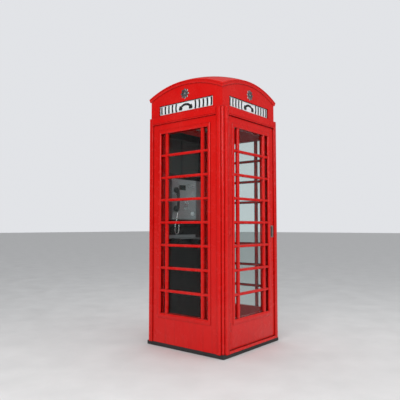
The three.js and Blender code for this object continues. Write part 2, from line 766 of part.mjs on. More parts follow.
piece("base_plinth", BLACK, basePlinth());
const corners = { back_right: 0, back_left: 1, front_left: 2, front_right: 3 };
for (const [corner, quarter] of Object.entries(corners)) {
  piece("corner_post_" + corner, RED, cornerPost(), (quarter * Math.PI) / 2);
}
piece("threshold", RED, threshold());
piece("door_lintel", RED, doorLintel());

for (const side of ["left", "right"]) {
  piece(side + "_side_frame", RED, cut(blankPanel(), windowCut(PANEL_BACK)), SIDES[side]);
  piece(side + "_glazing_bars", RED, glazingBars(), SIDES[side]);
  piece(side + "_glass", CLEAR, windowGlass(), SIDES[side]);
}
piece("back_panel", RED, backPanel(), SIDES.back);

piece("door_leaf", RED, doorLeaf());
piece("door_glazing_bars", RED, glazingBars());
piece("door_glass", CLEAR, windowGlass());
piece("door_pull", STEEL, doorPull());
for (const [name, height] of Object.entries(HINGE_HEIGHTS)) {
  piece("hinge_frame_half_" + name, RED, hingeFrameHalf(height));
  piece("hinge_door_half_" + name, RED, hingeDoorHalf(height));
}

piece("roof_casting", RED, roofCasting());
for (const [side, turn] of Object.entries(SIDES)) {
  piece("sign_glass_" + side, OPAL, signGlass(), turn);
  piece("roof_emblem_" + side, PEWTER, roofEmblem(), turn);
}
piece("ceiling_panel", CREAM, squareBlock(CEILING_HALF, ROOF_BOTTOM, ROOF_BOTTOM + CEILING));
piece("ceiling_lamp", OPAL, ceilingLamp());

piece("backboard", STEEL, backboard());
piece("notice_frame", DARK, noticeFrame());
piece("shelf", STEEL, shelf());

piece("payphone_case", GREY, payphoneCase());
piece("payphone_cover", STEEL, payphoneCover());
piece("display_window", CLEAR, displayWindow());
KEY_NAMES.forEach((name, index) => piece("key_" + name, CHROME, key(keyPlace(index))));
const rejectButton = plunger(REJECT.x, REJECT.z, REJECT.radius, KEY_FRONT, COVER_BACK + REJECT.flange);
const hookPlunger = plunger(HANDSET_X, EAR_Z, HOOK.radius, CAP_BACK + GAP, COVER_BACK + HOOK.flange);
piece("coin_reject_button", CHROME, rejectButton);
piece("coin_return_flap", CHROME, coinReturnFlap());
piece("hook_plunger", DARK, hookPlunger);
piece("handset_cradle", CHROME, handsetCradle());
piece("handset", HANDSET, handset());
piece("handset_cord", STEEL, handsetCord());
piece("cord_gland", DARK, cordGland());

export default kiosk;
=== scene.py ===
"""A red cast-iron telephone kiosk: the looks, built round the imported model.

Shapes are drawn in millimetres and scaled to metres when a piece is made. A wall's pieces are drawn facing
-Y and turned about Z to their side. The origin is under the middle of the plinth, and the door faces -Y.
"""

import math
import random

import bmesh
import bpy
from mathutils import Matrix, Vector


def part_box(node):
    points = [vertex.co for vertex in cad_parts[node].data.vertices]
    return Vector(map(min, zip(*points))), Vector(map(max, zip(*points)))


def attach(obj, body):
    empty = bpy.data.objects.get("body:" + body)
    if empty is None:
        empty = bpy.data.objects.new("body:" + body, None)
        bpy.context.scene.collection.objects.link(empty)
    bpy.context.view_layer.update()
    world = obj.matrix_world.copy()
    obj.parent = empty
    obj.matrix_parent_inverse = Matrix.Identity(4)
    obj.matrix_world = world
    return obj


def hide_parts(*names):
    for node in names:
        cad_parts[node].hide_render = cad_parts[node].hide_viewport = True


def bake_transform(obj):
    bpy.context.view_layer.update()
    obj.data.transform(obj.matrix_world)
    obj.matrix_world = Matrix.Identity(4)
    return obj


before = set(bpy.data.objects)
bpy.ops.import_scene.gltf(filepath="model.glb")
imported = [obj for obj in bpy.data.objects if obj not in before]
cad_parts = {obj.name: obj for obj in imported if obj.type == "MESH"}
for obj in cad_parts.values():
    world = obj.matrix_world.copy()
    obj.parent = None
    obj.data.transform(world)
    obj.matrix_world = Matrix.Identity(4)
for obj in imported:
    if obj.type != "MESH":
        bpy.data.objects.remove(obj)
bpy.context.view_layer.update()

# ---------- Driving dimensions, in millimetres ----------

MM = 0.001
GAP = 0.3  # between pieces that touch


def box_mm(node):
    """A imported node's lowest and highest corners, in millimetres."""
    low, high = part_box(node)
    return low / MM, high / MM


POST_LOW, POST_HIGH = box_mm("corner_post_back_right")
LINTEL_LOW, LINTEL_HIGH = box_mm("door_lintel")
PANEL_HIGH = box_mm("left_side_frame")[1]
LEAF_LOW, LEAF_HIGH = box_mm("door_leaf")
BARS_LOW, BARS_HIGH = box_mm("door_glazing_bars")
GLASS_LOW, GLASS_HIGH = box_mm("door_glass")
ROOF_LOW, ROOF_HIGH = box_mm("roof_casting")
SIGN_LOW, SIGN_HIGH = box_mm("sign_glass_front")
EMBLEM_LOW, EMBLEM_HIGH = box_mm("roof_emblem_front")
LAMP_LOW, LAMP_HIGH = box_mm("ceiling_lamp")
PULL_LOW, PULL_HIGH = box_mm("door_pull")
BOARD_LOW, BOARD_HIGH = box_mm("backboard")
NOTICE_LOW, NOTICE_HIGH = box_mm("notice_frame")
COVER_LOW, COVER_HIGH = box_mm("payphone_cover")
DISPLAY_LOW, DISPLAY_HIGH = box_mm("display_window")
FLAP_LOW, FLAP_HIGH = box_mm("coin_return_flap")
HANDSET_LOW, HANDSET_HIGH = box_mm("handset")
GLAND_LOW, GLAND_HIGH = box_mm("cord_gland")

FACE = POST_HIGH.y  # the jambs' outer face
HEAD_BOTTOM = LEAF_HIGH.z + 4  # the leaf's clearance below the lintel
BODY_BOTTOM = POST_LOW.z
BODY_TOP = POST_HIGH.z
FRAME_HALF = PANEL_HIGH.y  # half a fixed panel's width
PANEL_FACE = -LEAF_LOW.y
PANEL_BACK = -PANEL_HIGH.x
LEAF_BACK = -LEAF_HIGH.y

OPENING = FRAME_HALF + GAP
JAMB_EDGE = 415
BEAD_CENTRE = 421
BEAD_RADIUS = 14
STOP_FACE = 396
STOP_EDGE = 360
QUIRK_DEPTH = 2

GLASS_SLACK = 0.5
WINDOW_HALF = GLASS_HIGH.x + GLASS_SLACK
WINDOW_BOTTOM = GLASS_LOW.z - GLASS_SLACK
WINDOW_TOP = GLASS_HIGH.z + GLASS_SLACK
GLASS_FRONT = GLASS_LOW.y
GLASS_BACK = GLASS_HIGH.y
BARS_BACK = GLASS_FRONT - GAP
MOULDING_PROUD = -PANEL_FACE - BARS_LOW.y
MOULDING_BACK = 19 - PANEL_FACE
MOULDING_WIDTH = BARS_HIGH.x - WINDOW_HALF
SILL_WIDTH = WINDOW_BOTTOM - BARS_LOW.z
ROWS = 8
BAR_HALF = 12.5
MULLION_CENTRE = 212
MULLION_HALF = 16
COLLAR = 4
REBATE = 6

DOME_RADIUS = 1090
DOME_CENTRE = ROOF_HIGH.z - DOME_RADIUS
DOME_WALL = 18
FASCIA = 425
FASCIA_INSIDE = 413
LIP = ROOF_HIGH.x
SIGN_MARGIN = 12
SIGN_HALF = SIGN_HIGH.x - SIGN_MARGIN
SIGN_BOTTOM = SIGN_LOW.z + SIGN_MARGIN
SIGN_TOP = SIGN_HIGH.z - SIGN_MARGIN
VENT_HEIGHT = 8
VENT_BACK = 416

HINGE_HEIGHTS = {
    name: sum(box_mm("hinge_frame_half_" + name), Vector()).z / 2 for name in ("top", "middle", "bottom")
}
KEYS = ["1", "2", "3", "4", "5", "6", "7", "8", "9", "star", "0", "hash"]
LEGENDS = {"star": "*", "hash": "#"}
HANDSET_X = (HANDSET_LOW.x + HANDSET_HIGH.x) / 2
CAP_RADIUS = (HANDSET_HIGH.x - HANDSET_LOW.x) / 2
EAR_Z = 1448
MOUTH_Z = 1270
COIN_X, COIN_Z = -30, 1500

QUARTERS = {"front": 0, "right": 1, "back": 2, "left": 3}
TURNS = {side: quarter * math.pi / 2 for side, quarter in QUARTERS.items()}

# The armoured cord's route in metres, from the handset's stub down round a hanging loop to the gland.
CORD_ROUTE = [
    (-0.230, 0.262, 1.2317), (-0.230, 0.262, 1.216), (-0.231, 0.262, 1.198), (-0.236, 0.2625, 1.176),
    (-0.244, 0.263, 1.152), (-0.252, 0.264, 1.126), (-0.257, 0.266, 1.098), (-0.257, 0.269, 1.070),
    (-0.248, 0.274, 1.046), (-0.231, 0.280, 1.030), (-0.209, 0.287, 1.024), (-0.187, 0.295, 1.029),
    (-0.168, 0.303, 1.044), (-0.154, 0.311, 1.066), (-0.146, 0.318, 1.092), (-0.141, 0.323, 1.118),
    (-0.140, 0.325, 1.134), (-0.140, 0.325, 1.1474),
]
CORD_DIAMETER = 0.008

# ---------- Camera ----------


def make_camera():
    """The camera stands at head height off the corner between the left side and the door."""
    data = bpy.data.cameras.new("camera")
    data.sensor_width = 36
    data.lens = 42.76
    camera = bpy.data.objects.new("camera", data)
    camera.location = (-3.64, -2.803, 1.095)
    camera.rotation_euler = [math.radians(angle) for angle in (93.22, 0.03, -50.77)]
    bpy.context.scene.collection.objects.link(camera)
    bpy.context.scene.camera = camera


# ---------- Materials ----------


class Nodes:
    """A node tree, with short calls for what materials and the sky share."""

    def __init__(self, tree):
        self.tree = tree

    def add(self, kind, settings=None, **inputs):
        """A node with its settings and inputs. An input is a value or another node's output."""
        node = self.tree.nodes.new(kind)
        for key, value in (settings or {}).items():
            setattr(node, key, value)
        for key, value in inputs.items():
            self.feed(node.inputs[key], value)
        return node

    def feed(self, socket, value):
        """Links a socket to another node's output, or sets its own value."""
        if isinstance(value, bpy.types.NodeSocket):
            self.tree.links.new(value, socket)
        else:
            socket.default_value = value

    def span(self, value, low, high, to_low=0.0, to_high=1.0):
        """Maps low..high to to_low..to_high, held at both ends."""
        limits = {"From Min": low, "From Max": high, "To Min": to_low, "To Max": to_high}
        return self.add("ShaderNodeMapRange", Value=value, **limits).outputs["Result"]

    def combine(self, kind, settings, output, *values):
        """One output of a node whose inputs are told apart by their order."""
        node = self.add(kind, settings)
        for socket, value in zip(node.inputs, values):
            self.feed(socket, value)
        return node.outputs[output]

    def math(self, operation, first, second=0.0):
        return self.combine("ShaderNodeMath", {"operation": operation}, 0, first, second)

    def either(self, share, first, second):
        """A shader between two shaders."""
        return self.combine("ShaderNodeMixShader", {}, 0, share, first, second)


class Finish(Nodes):
    """One material's nodes."""

    def __init__(self, name):
        self.material = bpy.data.materials.new(name)
        self.material.use_nodes = True
        super().__init__(self.material.node_tree)
        self.shader = self.tree.nodes["Principled BSDF"]
        self.place = self.add("ShaderNodeTexCoord").outputs["Object"]
        separate = self.add("ShaderNodeSeparateXYZ", Vector=self.place)
        self.x, self.y, self.z = separate.outputs

    def set(self, **inputs):
        """Sets the main shader's inputs; an underscore in a name stands for a space."""
        for key, value in inputs.items():
            if isinstance(value, tuple) and len(value) == 3:
                value = (*value, 1.0)
            self.feed(self.shader.inputs[key.replace("_", " ")], value)

    def noise(self, scale, detail=4.0, rough=0.55, stretch=(1, 1, 1)):
        """Noise with a scale per metre, drawn out along an axis where stretch is below 1."""
        mapping = self.add("ShaderNodeMapping", Vector=self.place, Scale=stretch)
        node = self.add(
            "ShaderNodeTexNoise", Vector=mapping.outputs[0], Scale=scale, Detail=detail, Roughness=rough
        )
        return node.outputs["Fac"]

    def mix(self, share, first, second):
        """A colour between two colours."""
        node = self.add("ShaderNodeMix", {"data_type": "RGBA"})
        self.feed(node.inputs["Factor"], share)
        for socket, colour in ((node.inputs[6], first), (node.inputs[7], second)):
            self.feed(socket, (*colour, 1.0) if isinstance(colour, tuple) else colour)
        return node.outputs[2]

    def bump(self, height, depth_mm, normal=None):
        """The surface's normal, raised by a height from 0 to 1 over a depth in millimetres."""
        node = self.add("ShaderNodeBump", Height=height, Distance=depth_mm * MM, Strength=1.0)
        if normal is not None:
            self.feed(node.inputs["Normal"], normal)
        return node.outputs["Normal"]

    def crevice(self, reach_mm):
        """1 in the open, towards 0 in corners and grooves."""
        node = self.add("ShaderNodeAmbientOcclusion", {"samples": 6}, Distance=reach_mm * MM)
        return node.outputs["AO"]

    def patches(self, scale, detail, low, high):
        """Soft patches of noise, mapped from low..high to 0..1."""
        return self.span(self.noise(scale, detail, 0.6), low, high)

    def corner_shaded(self, tone, reach_mm, colour, most=0.75):
        """A colour that goes towards another in corners and grooves, by ambient occlusion: painted shade."""
        return self.mix(self.span(self.crevice(reach_mm), 0.3, 0.95, most, 0.0), tone, colour)

    def upward(self):
        """1 on surfaces that face up, 0 on walls."""
        normal = self.add("ShaderNodeNewGeometry").outputs["Normal"]
        return self.span(self.add("ShaderNodeSeparateXYZ", Vector=normal).outputs["Z"], 0.45, 0.95)


def scaled(colour, share):
    """A colour made lighter or darker by one share."""
    return tuple(share * channel for channel in colour)


def gloss_paint(name, lumps, grain=False):
    """Thick red gloss: faded in patches, with painted shade darkening its corners and grooves, grimy near the
    ground, dusty on top.
    """
    finish = Finish(name)
    fresh, faded = (0.62, 0.005, 0.004), (0.64, 0.012, 0.009)
    colour = finish.mix(finish.span(finish.noise(2.3, 3), 0.38, 0.66), fresh, faded)
    low = finish.span(finish.z, 0.55, 0.02, 0.03, 0.38)
    runs = finish.span(finish.noise(30, 5, 0.6, (1, 1, 0.05)), 0.52, 0.76)
    colour = finish.mix(finish.math("MULTIPLY", low, runs), colour, (0.26, 0.008, 0.006))
    # Painted shade: the colour goes towards a near-black red in corners and grooves, by ambient occlusion.
    corners = finish.span(finish.crevice(16), 0.35, 0.95, 0.80, 0.0)
    colour = finish.mix(corners, colour, (0.10, 0.004, 0.003))
    dust = finish.math("MULTIPLY", finish.upward(), finish.span(finish.noise(9, 6), 0.30, 0.75, 0.05, 0.20))
    colour = finish.mix(dust, colour, (0.62, 0.20, 0.17))
    chips = finish.span(finish.noise(150, 2, 0.4), 0.765, 0.78)
    colour = finish.mix(finish.math("MULTIPLY", chips, low), colour, (0.035, 0.022, 0.018))
    gloss = finish.span(finish.noise(13, 6, 0.65), 0.3, 0.75, 0.19, 0.33)
    gloss = finish.math("ADD", gloss, finish.math("MULTIPLY", dust, 0.5))
    peel = finish.bump(finish.noise(520, 2, 0.5), 0.035)
    normal = finish.bump(finish.noise(26, 3, 0.5), lumps, peel)
    if grain:
        normal = finish.bump(finish.noise(230, 4, 0.6, (1, 1, 0.03)), 0.05, normal)
    finish.set(
        Base_Color=colour,
        Roughness=gloss,
        Normal=normal,
        Specular_IOR_Level=0.22,
        Coat_Weight=0.10,
        Coat_Roughness=0.08,
    )
    return finish.material


def plinth_finish():
    """Black bitumen paint on concrete, chipped at its edges, with a bare worn floor inside."""
    finish = Finish("plinth_finish")
    speckle = finish.noise(420, 5, 0.7)
    patches = finish.noise(7, 6, 0.6)
    paint = finish.mix(finish.span(patches, 0.35, 0.7), (0.014, 0.014, 0.015), (0.038, 0.036, 0.035))
    paint = finish.mix(finish.span(finish.noise(60, 6, 0.7), 0.66, 0.72), paint, (0.17, 0.16, 0.145))
    concrete = finish.mix(finish.span(speckle, 0.3, 0.7), (0.16, 0.155, 0.145), (0.30, 0.29, 0.27))
    concrete = finish.mix(finish.span(patches, 0.45, 0.7, 0.0, 0.7), concrete, (0.09, 0.085, 0.08))
    across = finish.math("MAXIMUM", finish.math("ABSOLUTE", finish.x), finish.math("ABSOLUTE", finish.y))
    within = finish.math("LESS_THAN", across, PANEL_BACK * MM)
    raised = finish.math("GREATER_THAN", finish.z, BODY_BOTTOM * MM)
    inside = finish.math("MULTIPLY", within, raised)
    normal = finish.bump(finish.noise(90, 5, 0.6), 0.5, finish.bump(speckle, 0.15))
    finish.set(
        Base_Color=finish.mix(inside, paint, concrete),
        Roughness=finish.span(patches, 0.3, 0.7, 0.55, 0.85),
        Normal=normal,
    )
    return finish.material


def pane_finish():
    """Window glass with a film of dust. Lamplight passes straight through it."""
    finish = Finish("pane_finish")
    film = finish.noise(16, 6, 0.65, (1, 1, 0.4))
    ripple = finish.bump(finish.noise(5, 2), 0.35)
    finish.set(
        Base_Color=(0.80, 0.86, 0.85),
        Roughness=finish.span(film, 0.45, 0.8, 0.0, 0.06),
        Normal=ripple,
        Transmission_Weight=1.0,
        IOR=1.22,
    )
    shadow = finish.add("ShaderNodeLightPath").outputs["Is Shadow Ray"]
    clear = finish.add("ShaderNodeBsdfTransparent", Color=(0.66, 0.72, 0.71, 1.0))
    output = finish.tree.nodes["Material Output"]
    finish.feed(output.inputs["Surface"], finish.either(shadow, finish.shader.outputs[0], clear.outputs[0]))
    return finish.material


def opal_finish(name, pale, dull):
    """Opal glass or acrylic, darkened along its edges and in its corners by painted shade."""
    finish = Finish(name)
    # Painted shade: the colour darkens along edges and in corners, by ambient occlusion.
    edge = finish.span(finish.crevice(10), 0.4, 0.95, 0.7, 0.0)
    colour = finish.mix(finish.patches(14, 5, 0.35, 0.75), pale, dull)
    colour = finish.mix(edge, colour, (0.34, 0.33, 0.30))
    finish.set(
        Base_Color=colour,
        Roughness=finish.span(finish.noise(70, 4), 0.3, 0.7, 0.16, 0.32),
        Normal=finish.bump(finish.noise(11, 3), 0.12),
        Coat_Weight=0.35,
        Coat_Roughness=0.05,
        Subsurface_Weight=0.08,
    )
    return finish.material


def cast_metal(name, dark, bright):
    """Dark cast metal, rubbed bright on its high points."""
    finish = Finish(name)
    high = finish.span(finish.add("ShaderNodeNewGeometry").outputs["Pointiness"], 0.50, 0.53)
    rubbed = finish.math("MULTIPLY", high, finish.span(finish.noise(90, 4), 0.3, 0.6, 0.5, 1.0))
    tarnish = finish.mix(finish.patches(120, 5, 0.35, 0.7), dark, scaled(dark, 2.2))
    tarnish = finish.mix(finish.span(finish.crevice(6), 0.3, 0.9, 0.8, 0.0), tarnish, (0.012, 0.012, 0.013))
    finish.set(
        Base_Color=finish.mix(rubbed, tarnish, bright),
        Metallic=0.85,
        Roughness=finish.span(rubbed, 0.0, 1.0, 0.5, 0.24),
        Normal=finish.bump(finish.noise(700, 4, 0.65), 0.06),
    )
    return finish.material


def brushed_metal(name, colour, stretch, rough=(0.24, 0.42)):
    """Brushed metal: fine scratches along one axis, with smudges, and painted shade darkening its corners and
    grooves.
    """
    finish = Finish(name)
    brush = finish.noise(1500, 4, 0.6, stretch)
    smudge = finish.noise(18, 5, 0.6)
    tone = finish.mix(finish.span(brush, 0.3, 0.7), scaled(colour, 0.62), colour)
    # Painted shade: darker in corners and grooves, by ambient occlusion.
    tone = finish.corner_shaded(tone, 8, scaled(colour, 0.16))
    blend = finish.math("ADD", finish.math("MULTIPLY", brush, 0.4), finish.math("MULTIPLY", smudge, 0.6))
    finish.set(
        Base_Color=tone,
        Metallic=0.95,
        Roughness=finish.span(blend, 0.35, 0.65, *rough),
        Normal=finish.bump(brush, 0.02, finish.bump(finish.noise(8, 2), 0.15)),
    )
    return finish.material


def hammered_paint(name, colour):
    """Hammered enamel: shallow round dimples with paler rims, and painted shade darkening its corners."""
    finish = Finish(name)
    cells = finish.add("ShaderNodeTexVoronoi", {"feature": "SMOOTH_F1"}, Vector=finish.place, Scale=260.0)
    dimple = finish.span(cells.outputs["Distance"], 0.0, 0.55)
    tone = finish.mix(dimple, scaled(colour, 0.75), scaled(colour, 1.35))
    # Painted shade: darker in corners and grooves, by ambient occlusion.
    tone = finish.corner_shaded(tone, 10, scaled(colour, 0.2), most=0.7)
    finish.set(
        Base_Color=tone,
        Metallic=0.35,
        Roughness=finish.span(finish.noise(40, 4), 0.3, 0.7, 0.3, 0.46),
        Normal=finish.bump(dimple, 0.25),
    )
    return finish.material


def satin_paint(name, colour, worn, grit=0.05, shine=0.5):
    """Satin paint or moulded plastic with patches of handling and fine grit, and painted shade darkening its
    corners.
    """
    finish = Finish(name)
    tone = finish.mix(finish.patches(12, 5, 0.42, 0.72), colour, worn)
    # Painted shade: darker in corners and grooves, by ambient occlusion.
    tone = finish.corner_shaded(tone, 12, scaled(colour, 0.3), most=0.6)
    finish.set(
        Base_Color=tone,
        Roughness=finish.span(finish.noise(30, 6, 0.65), 0.3, 0.7, 0.28, 0.5),
        Normal=finish.bump(finish.noise(900, 3, 0.6), grit),
        Specular_IOR_Level=shine,
    )
    return finish.material


def card_finish():
    """Faded printed card behind the notice frame's windows."""
    finish = Finish("card_finish")
    fibre = finish.noise(600, 4, 0.7, (1, 1, 0.5))
    tone = finish.mix(finish.patches(6, 5, 0.4, 0.7), (0.036, 0.042, 0.039), (0.020, 0.024, 0.022))
    tone = finish.mix(finish.span(fibre, 0.4, 0.7, 0.0, 0.35), tone, (0.062, 0.067, 0.060))
    finish.set(
        Base_Color=tone,
        Roughness=finish.span(fibre, 0.3, 0.7, 0.5, 0.75),
        Normal=finish.bump(fibre, 0.05),
    )
    return finish.material


def ground_finish():
    """A pale studio floor with a faint mottle."""
    finish = Finish("ground_finish")
    mottle = finish.patches(3, 6, 0.3, 0.7)
    finish.set(
        Base_Color=finish.mix(mottle, (0.66, 0.66, 0.65), (0.72, 0.72, 0.71)),
        Roughness=finish.span(mottle, 0, 1, 0.55, 0.7),
        Normal=finish.bump(finish.noise(80, 5, 0.6), 0.3),
    )
    return finish.material


FINISHES = {
    "plinth_black": plinth_finish(),
    "red_iron": gloss_paint("red_iron_finish", 0.45),
    "red_teak": gloss_paint("red_teak_finish", 0.12, grain=True),
    "red_glazing": gloss_paint("red_glazing_finish", 0.08),
    "red_hinge": gloss_paint("red_hinge_finish", 0.10),
    "clear_glass": pane_finish(),
    "opal_glass": opal_finish("opal_sign_finish", (0.86, 0.87, 0.88), (0.74, 0.75, 0.75)),
    "emblem_metal": cast_metal("emblem_finish", (0.055, 0.055, 0.058), (0.80, 0.79, 0.77)),
    "pull_metal": brushed_metal("pull_finish", (0.56, 0.55, 0.52), (1, 1, 0.04)),
    "ceiling_cream": satin_paint("ceiling_finish", (0.60, 0.56, 0.47), (0.50, 0.45, 0.36)),
    "lamp_opal": opal_finish("opal_lamp_finish", (0.86, 0.85, 0.80), (0.78, 0.75, 0.66)),
    "board_steel": brushed_metal("board_finish", (0.30, 0.31, 0.32), (0.03, 1, 1), (0.34, 0.52)),
    "notice_dark": satin_paint("notice_finish", (0.012, 0.013, 0.014), (0.028, 0.030, 0.032), 0.05, 0.3),
    "case_grey": hammered_paint("case_finish", (0.13, 0.14, 0.15)),
    "cover_steel": brushed_metal("cover_finish", (0.46, 0.47, 0.48), (0.03, 1, 1)),
    "key_metal": brushed_metal("key_finish", (0.72, 0.73, 0.74), (1, 1, 0.2), (0.14, 0.26)),
    "black_plastic": satin_paint("handset_finish", (0.011, 0.011, 0.012), (0.026, 0.026, 0.027), 0.03),
    "cord_steel": brushed_metal("cord_finish", (0.86, 0.87, 0.88), (1, 1, 1), (0.18, 0.34)),
    "gland_rubber": satin_paint("gland_finish", (0.014, 0.014, 0.014), (0.035, 0.034, 0.033), 0.1),
    # Black for print, marks and rubber, and also painted shade: screw slots, handset holes and the rim round
    # the signs.
    "black_print_and_shade": satin_paint("print_and_shade_finish", (0.012, 0.012, 0.013), (0.030, 0.030, 0.031), 0.02),
    # A near-black lining for the back wall's inner face; its colour is partly painted shade, standing in for
    # the shade inside the kiosk.
    "inner_black_shade": satin_paint(
        "inner_black_shade_finish", (0.006, 0.007, 0.007), (0.014, 0.015, 0.015), 0.06, 0.15
    ),
    "notice_card": card_finish(),
    "ground": ground_finish(),
}

# ---------- Shapes ----------

WELD = 0.008 * MM
SHARP_ANGLE = 35  # an edge is left sharp where its faces meet at this angle or more


class Shape:
    """Faces whose corners are points in millimetres. Corners that meet become one when the piece is made."""

    def __init__(self):
        self.faces = []
        self.finishes = []

    def face(self, *corners, finish=0):
        """One face; finish counts into the piece's finishes."""
        self.faces.append(corners)
        self.finishes.append(finish)

    def bridge(self, first, second, finish=0):
        """Quads between two closed loops of as many points."""
        for i in range(len(first)):
            j = (i + 1) % len(first)
            self.face(first[i], first[j], second[j], second[i], finish=finish)

    def stack(self, loops, closed=False, capped=False, finish=0):
        """Bridges each loop to the next; closed joins the last to the first, and capped fills both ends."""
        for first, second in zip(loops, loops[1:]):
            self.bridge(first, second, finish=finish)
        if closed:
            self.bridge(loops[-1], loops[0], finish=finish)
        if capped:
            self.face(*loops[0], finish=finish)
            self.face(*loops[-1], finish=finish)

    def block(self, low, high, finish=0):
        """A box between two corners."""
        (x0, y0, z0), (x1, y1, z1) = low, high
        ends = [[(x0, y0, z), (x1, y0, z), (x1, y1, z), (x0, y1, z)] for z in (z0, z1)]
        self.stack(ends, capped=True, finish=finish)

    def bar(self, outline, x0, x1):
        """An outline of (y, z) points drawn along x."""
        self.stack([[(x, y, z) for y, z in outline] for x in (x0, x1)], capped=True)

    def lathe(self, profile, centre, axis="z", sides=40, finish=0):
        """A profile of (radius, height) points turned round an axis through centre."""
        loops = []
        for radius, height in profile:
            loop = []
            for side in range(sides):
                angle = 2 * math.pi * side / sides
                u, v = radius * math.cos(angle), radius * math.sin(angle)
                offset = (u, v, height) if axis == "z" else (u, height, v)
                loop.append(tuple(c + o for c, o in zip(centre, offset)))
            loops.append(loop)
        self.stack(loops, finish=finish)


def arc(x, y, radius, start, end, steps):
    """Points on an arc, its angles in degrees."""
    angles = [math.radians(start + (end - start) * step / steps) for step in range(steps + 1)]
    return [(x + radius * math.cos(angle), y + radius * math.sin(angle)) for angle in angles]


def make_mesh(name, shape, turn):
    """A shape as a mesh in metres, welded, facing out and turned about z."""
    mesh = bpy.data.meshes.new(name)
    corners = [[c * MM for c in corner] for face in shape.faces for corner in face]
    indices = iter(range(len(corners)))
    mesh.from_pydata(corners, [], [[next(indices) for _ in face] for face in shape.faces])
    mesh.polygons.foreach_set("material_index", shape.finishes)
    work = bmesh.new()
    work.from_mesh(mesh)
    bmesh.ops.remove_doubles(work, verts=work.verts, dist=WELD)
    bmesh.ops.recalc_face_normals(work, faces=work.faces)
    bmesh.ops.rotate(work, cent=(0, 0, 0), matrix=Matrix.Rotation(turn, 3, "Z"), verts=work.verts)
    work.to_mesh(mesh)
    work.free()
    return mesh


def bevelled(made, width_mm):
    """Rounds the edges of an object where its faces meet at 30 degrees or more."""
    bevel = made.modifiers.new("edges", "BEVEL")
    bevel.width = width_mm * MM
    bevel.segments = 2
    bevel.limit_method = "ANGLE"
    bevel.angle_limit = math.radians(30)
    bevel.use_clamp_overlap = False
    bevel.harden_normals = True


def piece(
    name, shape, slot, body="kiosk", side="front", replaces=(), finishes=None, bevel=0.0, angle=SHARP_ANGLE
):
    """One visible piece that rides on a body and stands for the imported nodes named."""
    mesh = make_mesh(name, shape, TURNS[side])
    mesh.shade_smooth()
    made = bpy.data.objects.new(name, mesh)
    bpy.context.scene.collection.objects.link(made)
    for finish in finishes or [slot]:
        mesh.materials.append(FINISHES[finish])
    if bevel:
        bevelled(made, bevel)
    else:
        mesh.set_sharp_from_angle(angle=math.radians(angle))
    if body is not None:
        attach(made, body)
    if replaces:
        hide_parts(*replaces)
    return made


def dress(node, slot, bevel):
    """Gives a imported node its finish, and rounds its edges."""
    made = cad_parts[node]
    mesh = made.data
    mesh.materials.clear()
    mesh.materials.append(FINISHES[slot])
    mesh.polygons.foreach_set("material_index", [0] * len(mesh.polygons))
    mesh.normals_split_custom_set([(0, 0, 0)] * len(mesh.loops))
    mesh.shade_smooth()
    weld = made.modifiers.new("weld", "WELD")
    weld.merge_threshold = WELD
    flat = made.modifiers.new("flat", "DECIMATE")
    flat.decimate_type = "DISSOLVE"
    flat.angle_limit = math.radians(0.4)
    bevelled(made, bevel)
    even = made.modifiers.new("even", "WEIGHTED_NORMAL")
    even.mode = "FACE_AREA"
    even.weight = 100


def perimeter(i0, i1, k0, k1):
    """The grid points round a rectangle of a grid, in order."""
    below = [(i, k0) for i in range(i0, i1)]
    right = [(i1, k) for k in range(k0, k1)]
    above = [(i, k1) for i in range(i1, i0, -1)]
    left = [(i0, k) for k in range(k1, k0, -1)]
    return below + right + above + left


def plate(shape, outline, edge, holes):
    """A plate facing -Y with rectangular holes.

    outline is (left, right, bottom, top), and edge lists (inset, y) from its front to its back. Each hole is
    its rectangle, its rim as (margin, y) from front to back, and whether it goes through. A blind one gets a
    floor.
    """
    rims = [(rectangle, tuple(rim), through) for rectangle, rim, through in holes]

    def breaks(axis):
        """The lines across the plate on one axis: where each lies, which way it widens, and its profile."""
        low, high = outline[axis], outline[axis + 1]
        lines = {(low, 1, tuple(edge)), (high, -1, tuple(edge))}
        for rectangle, rim, _ in rims:
            lines |= {(rectangle[axis], -1, rim), (rectangle[axis + 1], 1, rim)}
        return sorted(lines)

    columns, rows = breaks(0), breaks(2)

    def place(line, at):
        """Where a line lies at one step of its profile."""
        rest, way, profile = line
        return rest + way * profile[at][0]

    def spans(rectangle, rim):
        """The grid lines that a hole lies between."""
        i0, i1 = columns.index((rectangle[0], -1, rim)), columns.index((rectangle[1], 1, rim))
        k0, k1 = rows.index((rectangle[2], -1, rim)), rows.index((rectangle[3], 1, rim))
        return i0, i1, k0, k1

    found = [(*spans(rectangle, rim), rim, through) for rectangle, rim, through in rims]
    for at, y in ((0, edge[0][1]), (-1, edge[-1][1])):
        xs = [place(line, at) for line in columns]
        zs = [place(line, at) for line in rows]
        for i in range(len(xs) - 1):
            for k in range(len(zs) - 1):
                open_here = any(
                    i0 <= i < i1 and k0 <= k < k1 and (through or at == 0)
                    for i0, i1, k0, k1, _, through in found
                )
                if not open_here:
                    corners = ((i, k), (i + 1, k), (i + 1, k + 1), (i, k + 1))
                    shape.face(*[(xs[a], y, zs[b]) for a, b in corners])

    def loop(i0, i1, k0, k1, profile, step):
        """The points round a rectangle at one step of its profile; lines between corners keep their place."""
        end = -1 if step == len(profile) - 1 else 0
        points = []
        for i, k in perimeter(i0, i1, k0, k1):
            x, z = place(columns[i], end), place(rows[k], end)
            if i in (i0, i1):
                x = columns[i][0] + columns[i][1] * profile[step][0]
            if k in (k0, k1):
                z = rows[k][0] + rows[k][1] * profile[step][0]
            points.append((x, profile[step][1], z))
        return points

    whole = (0, len(columns) - 1, 0, len(rows) - 1)
    shape.stack([loop(*whole, edge, step) for step in range(len(edge))])
    for i0, i1, k0, k1, rim, through in found:
        loops = [loop(i0, i1, k0, k1, rim, step) for step in range(len(rim))]
        shape.stack(loops)
        if not through:
            shape.face(*loops[-1])


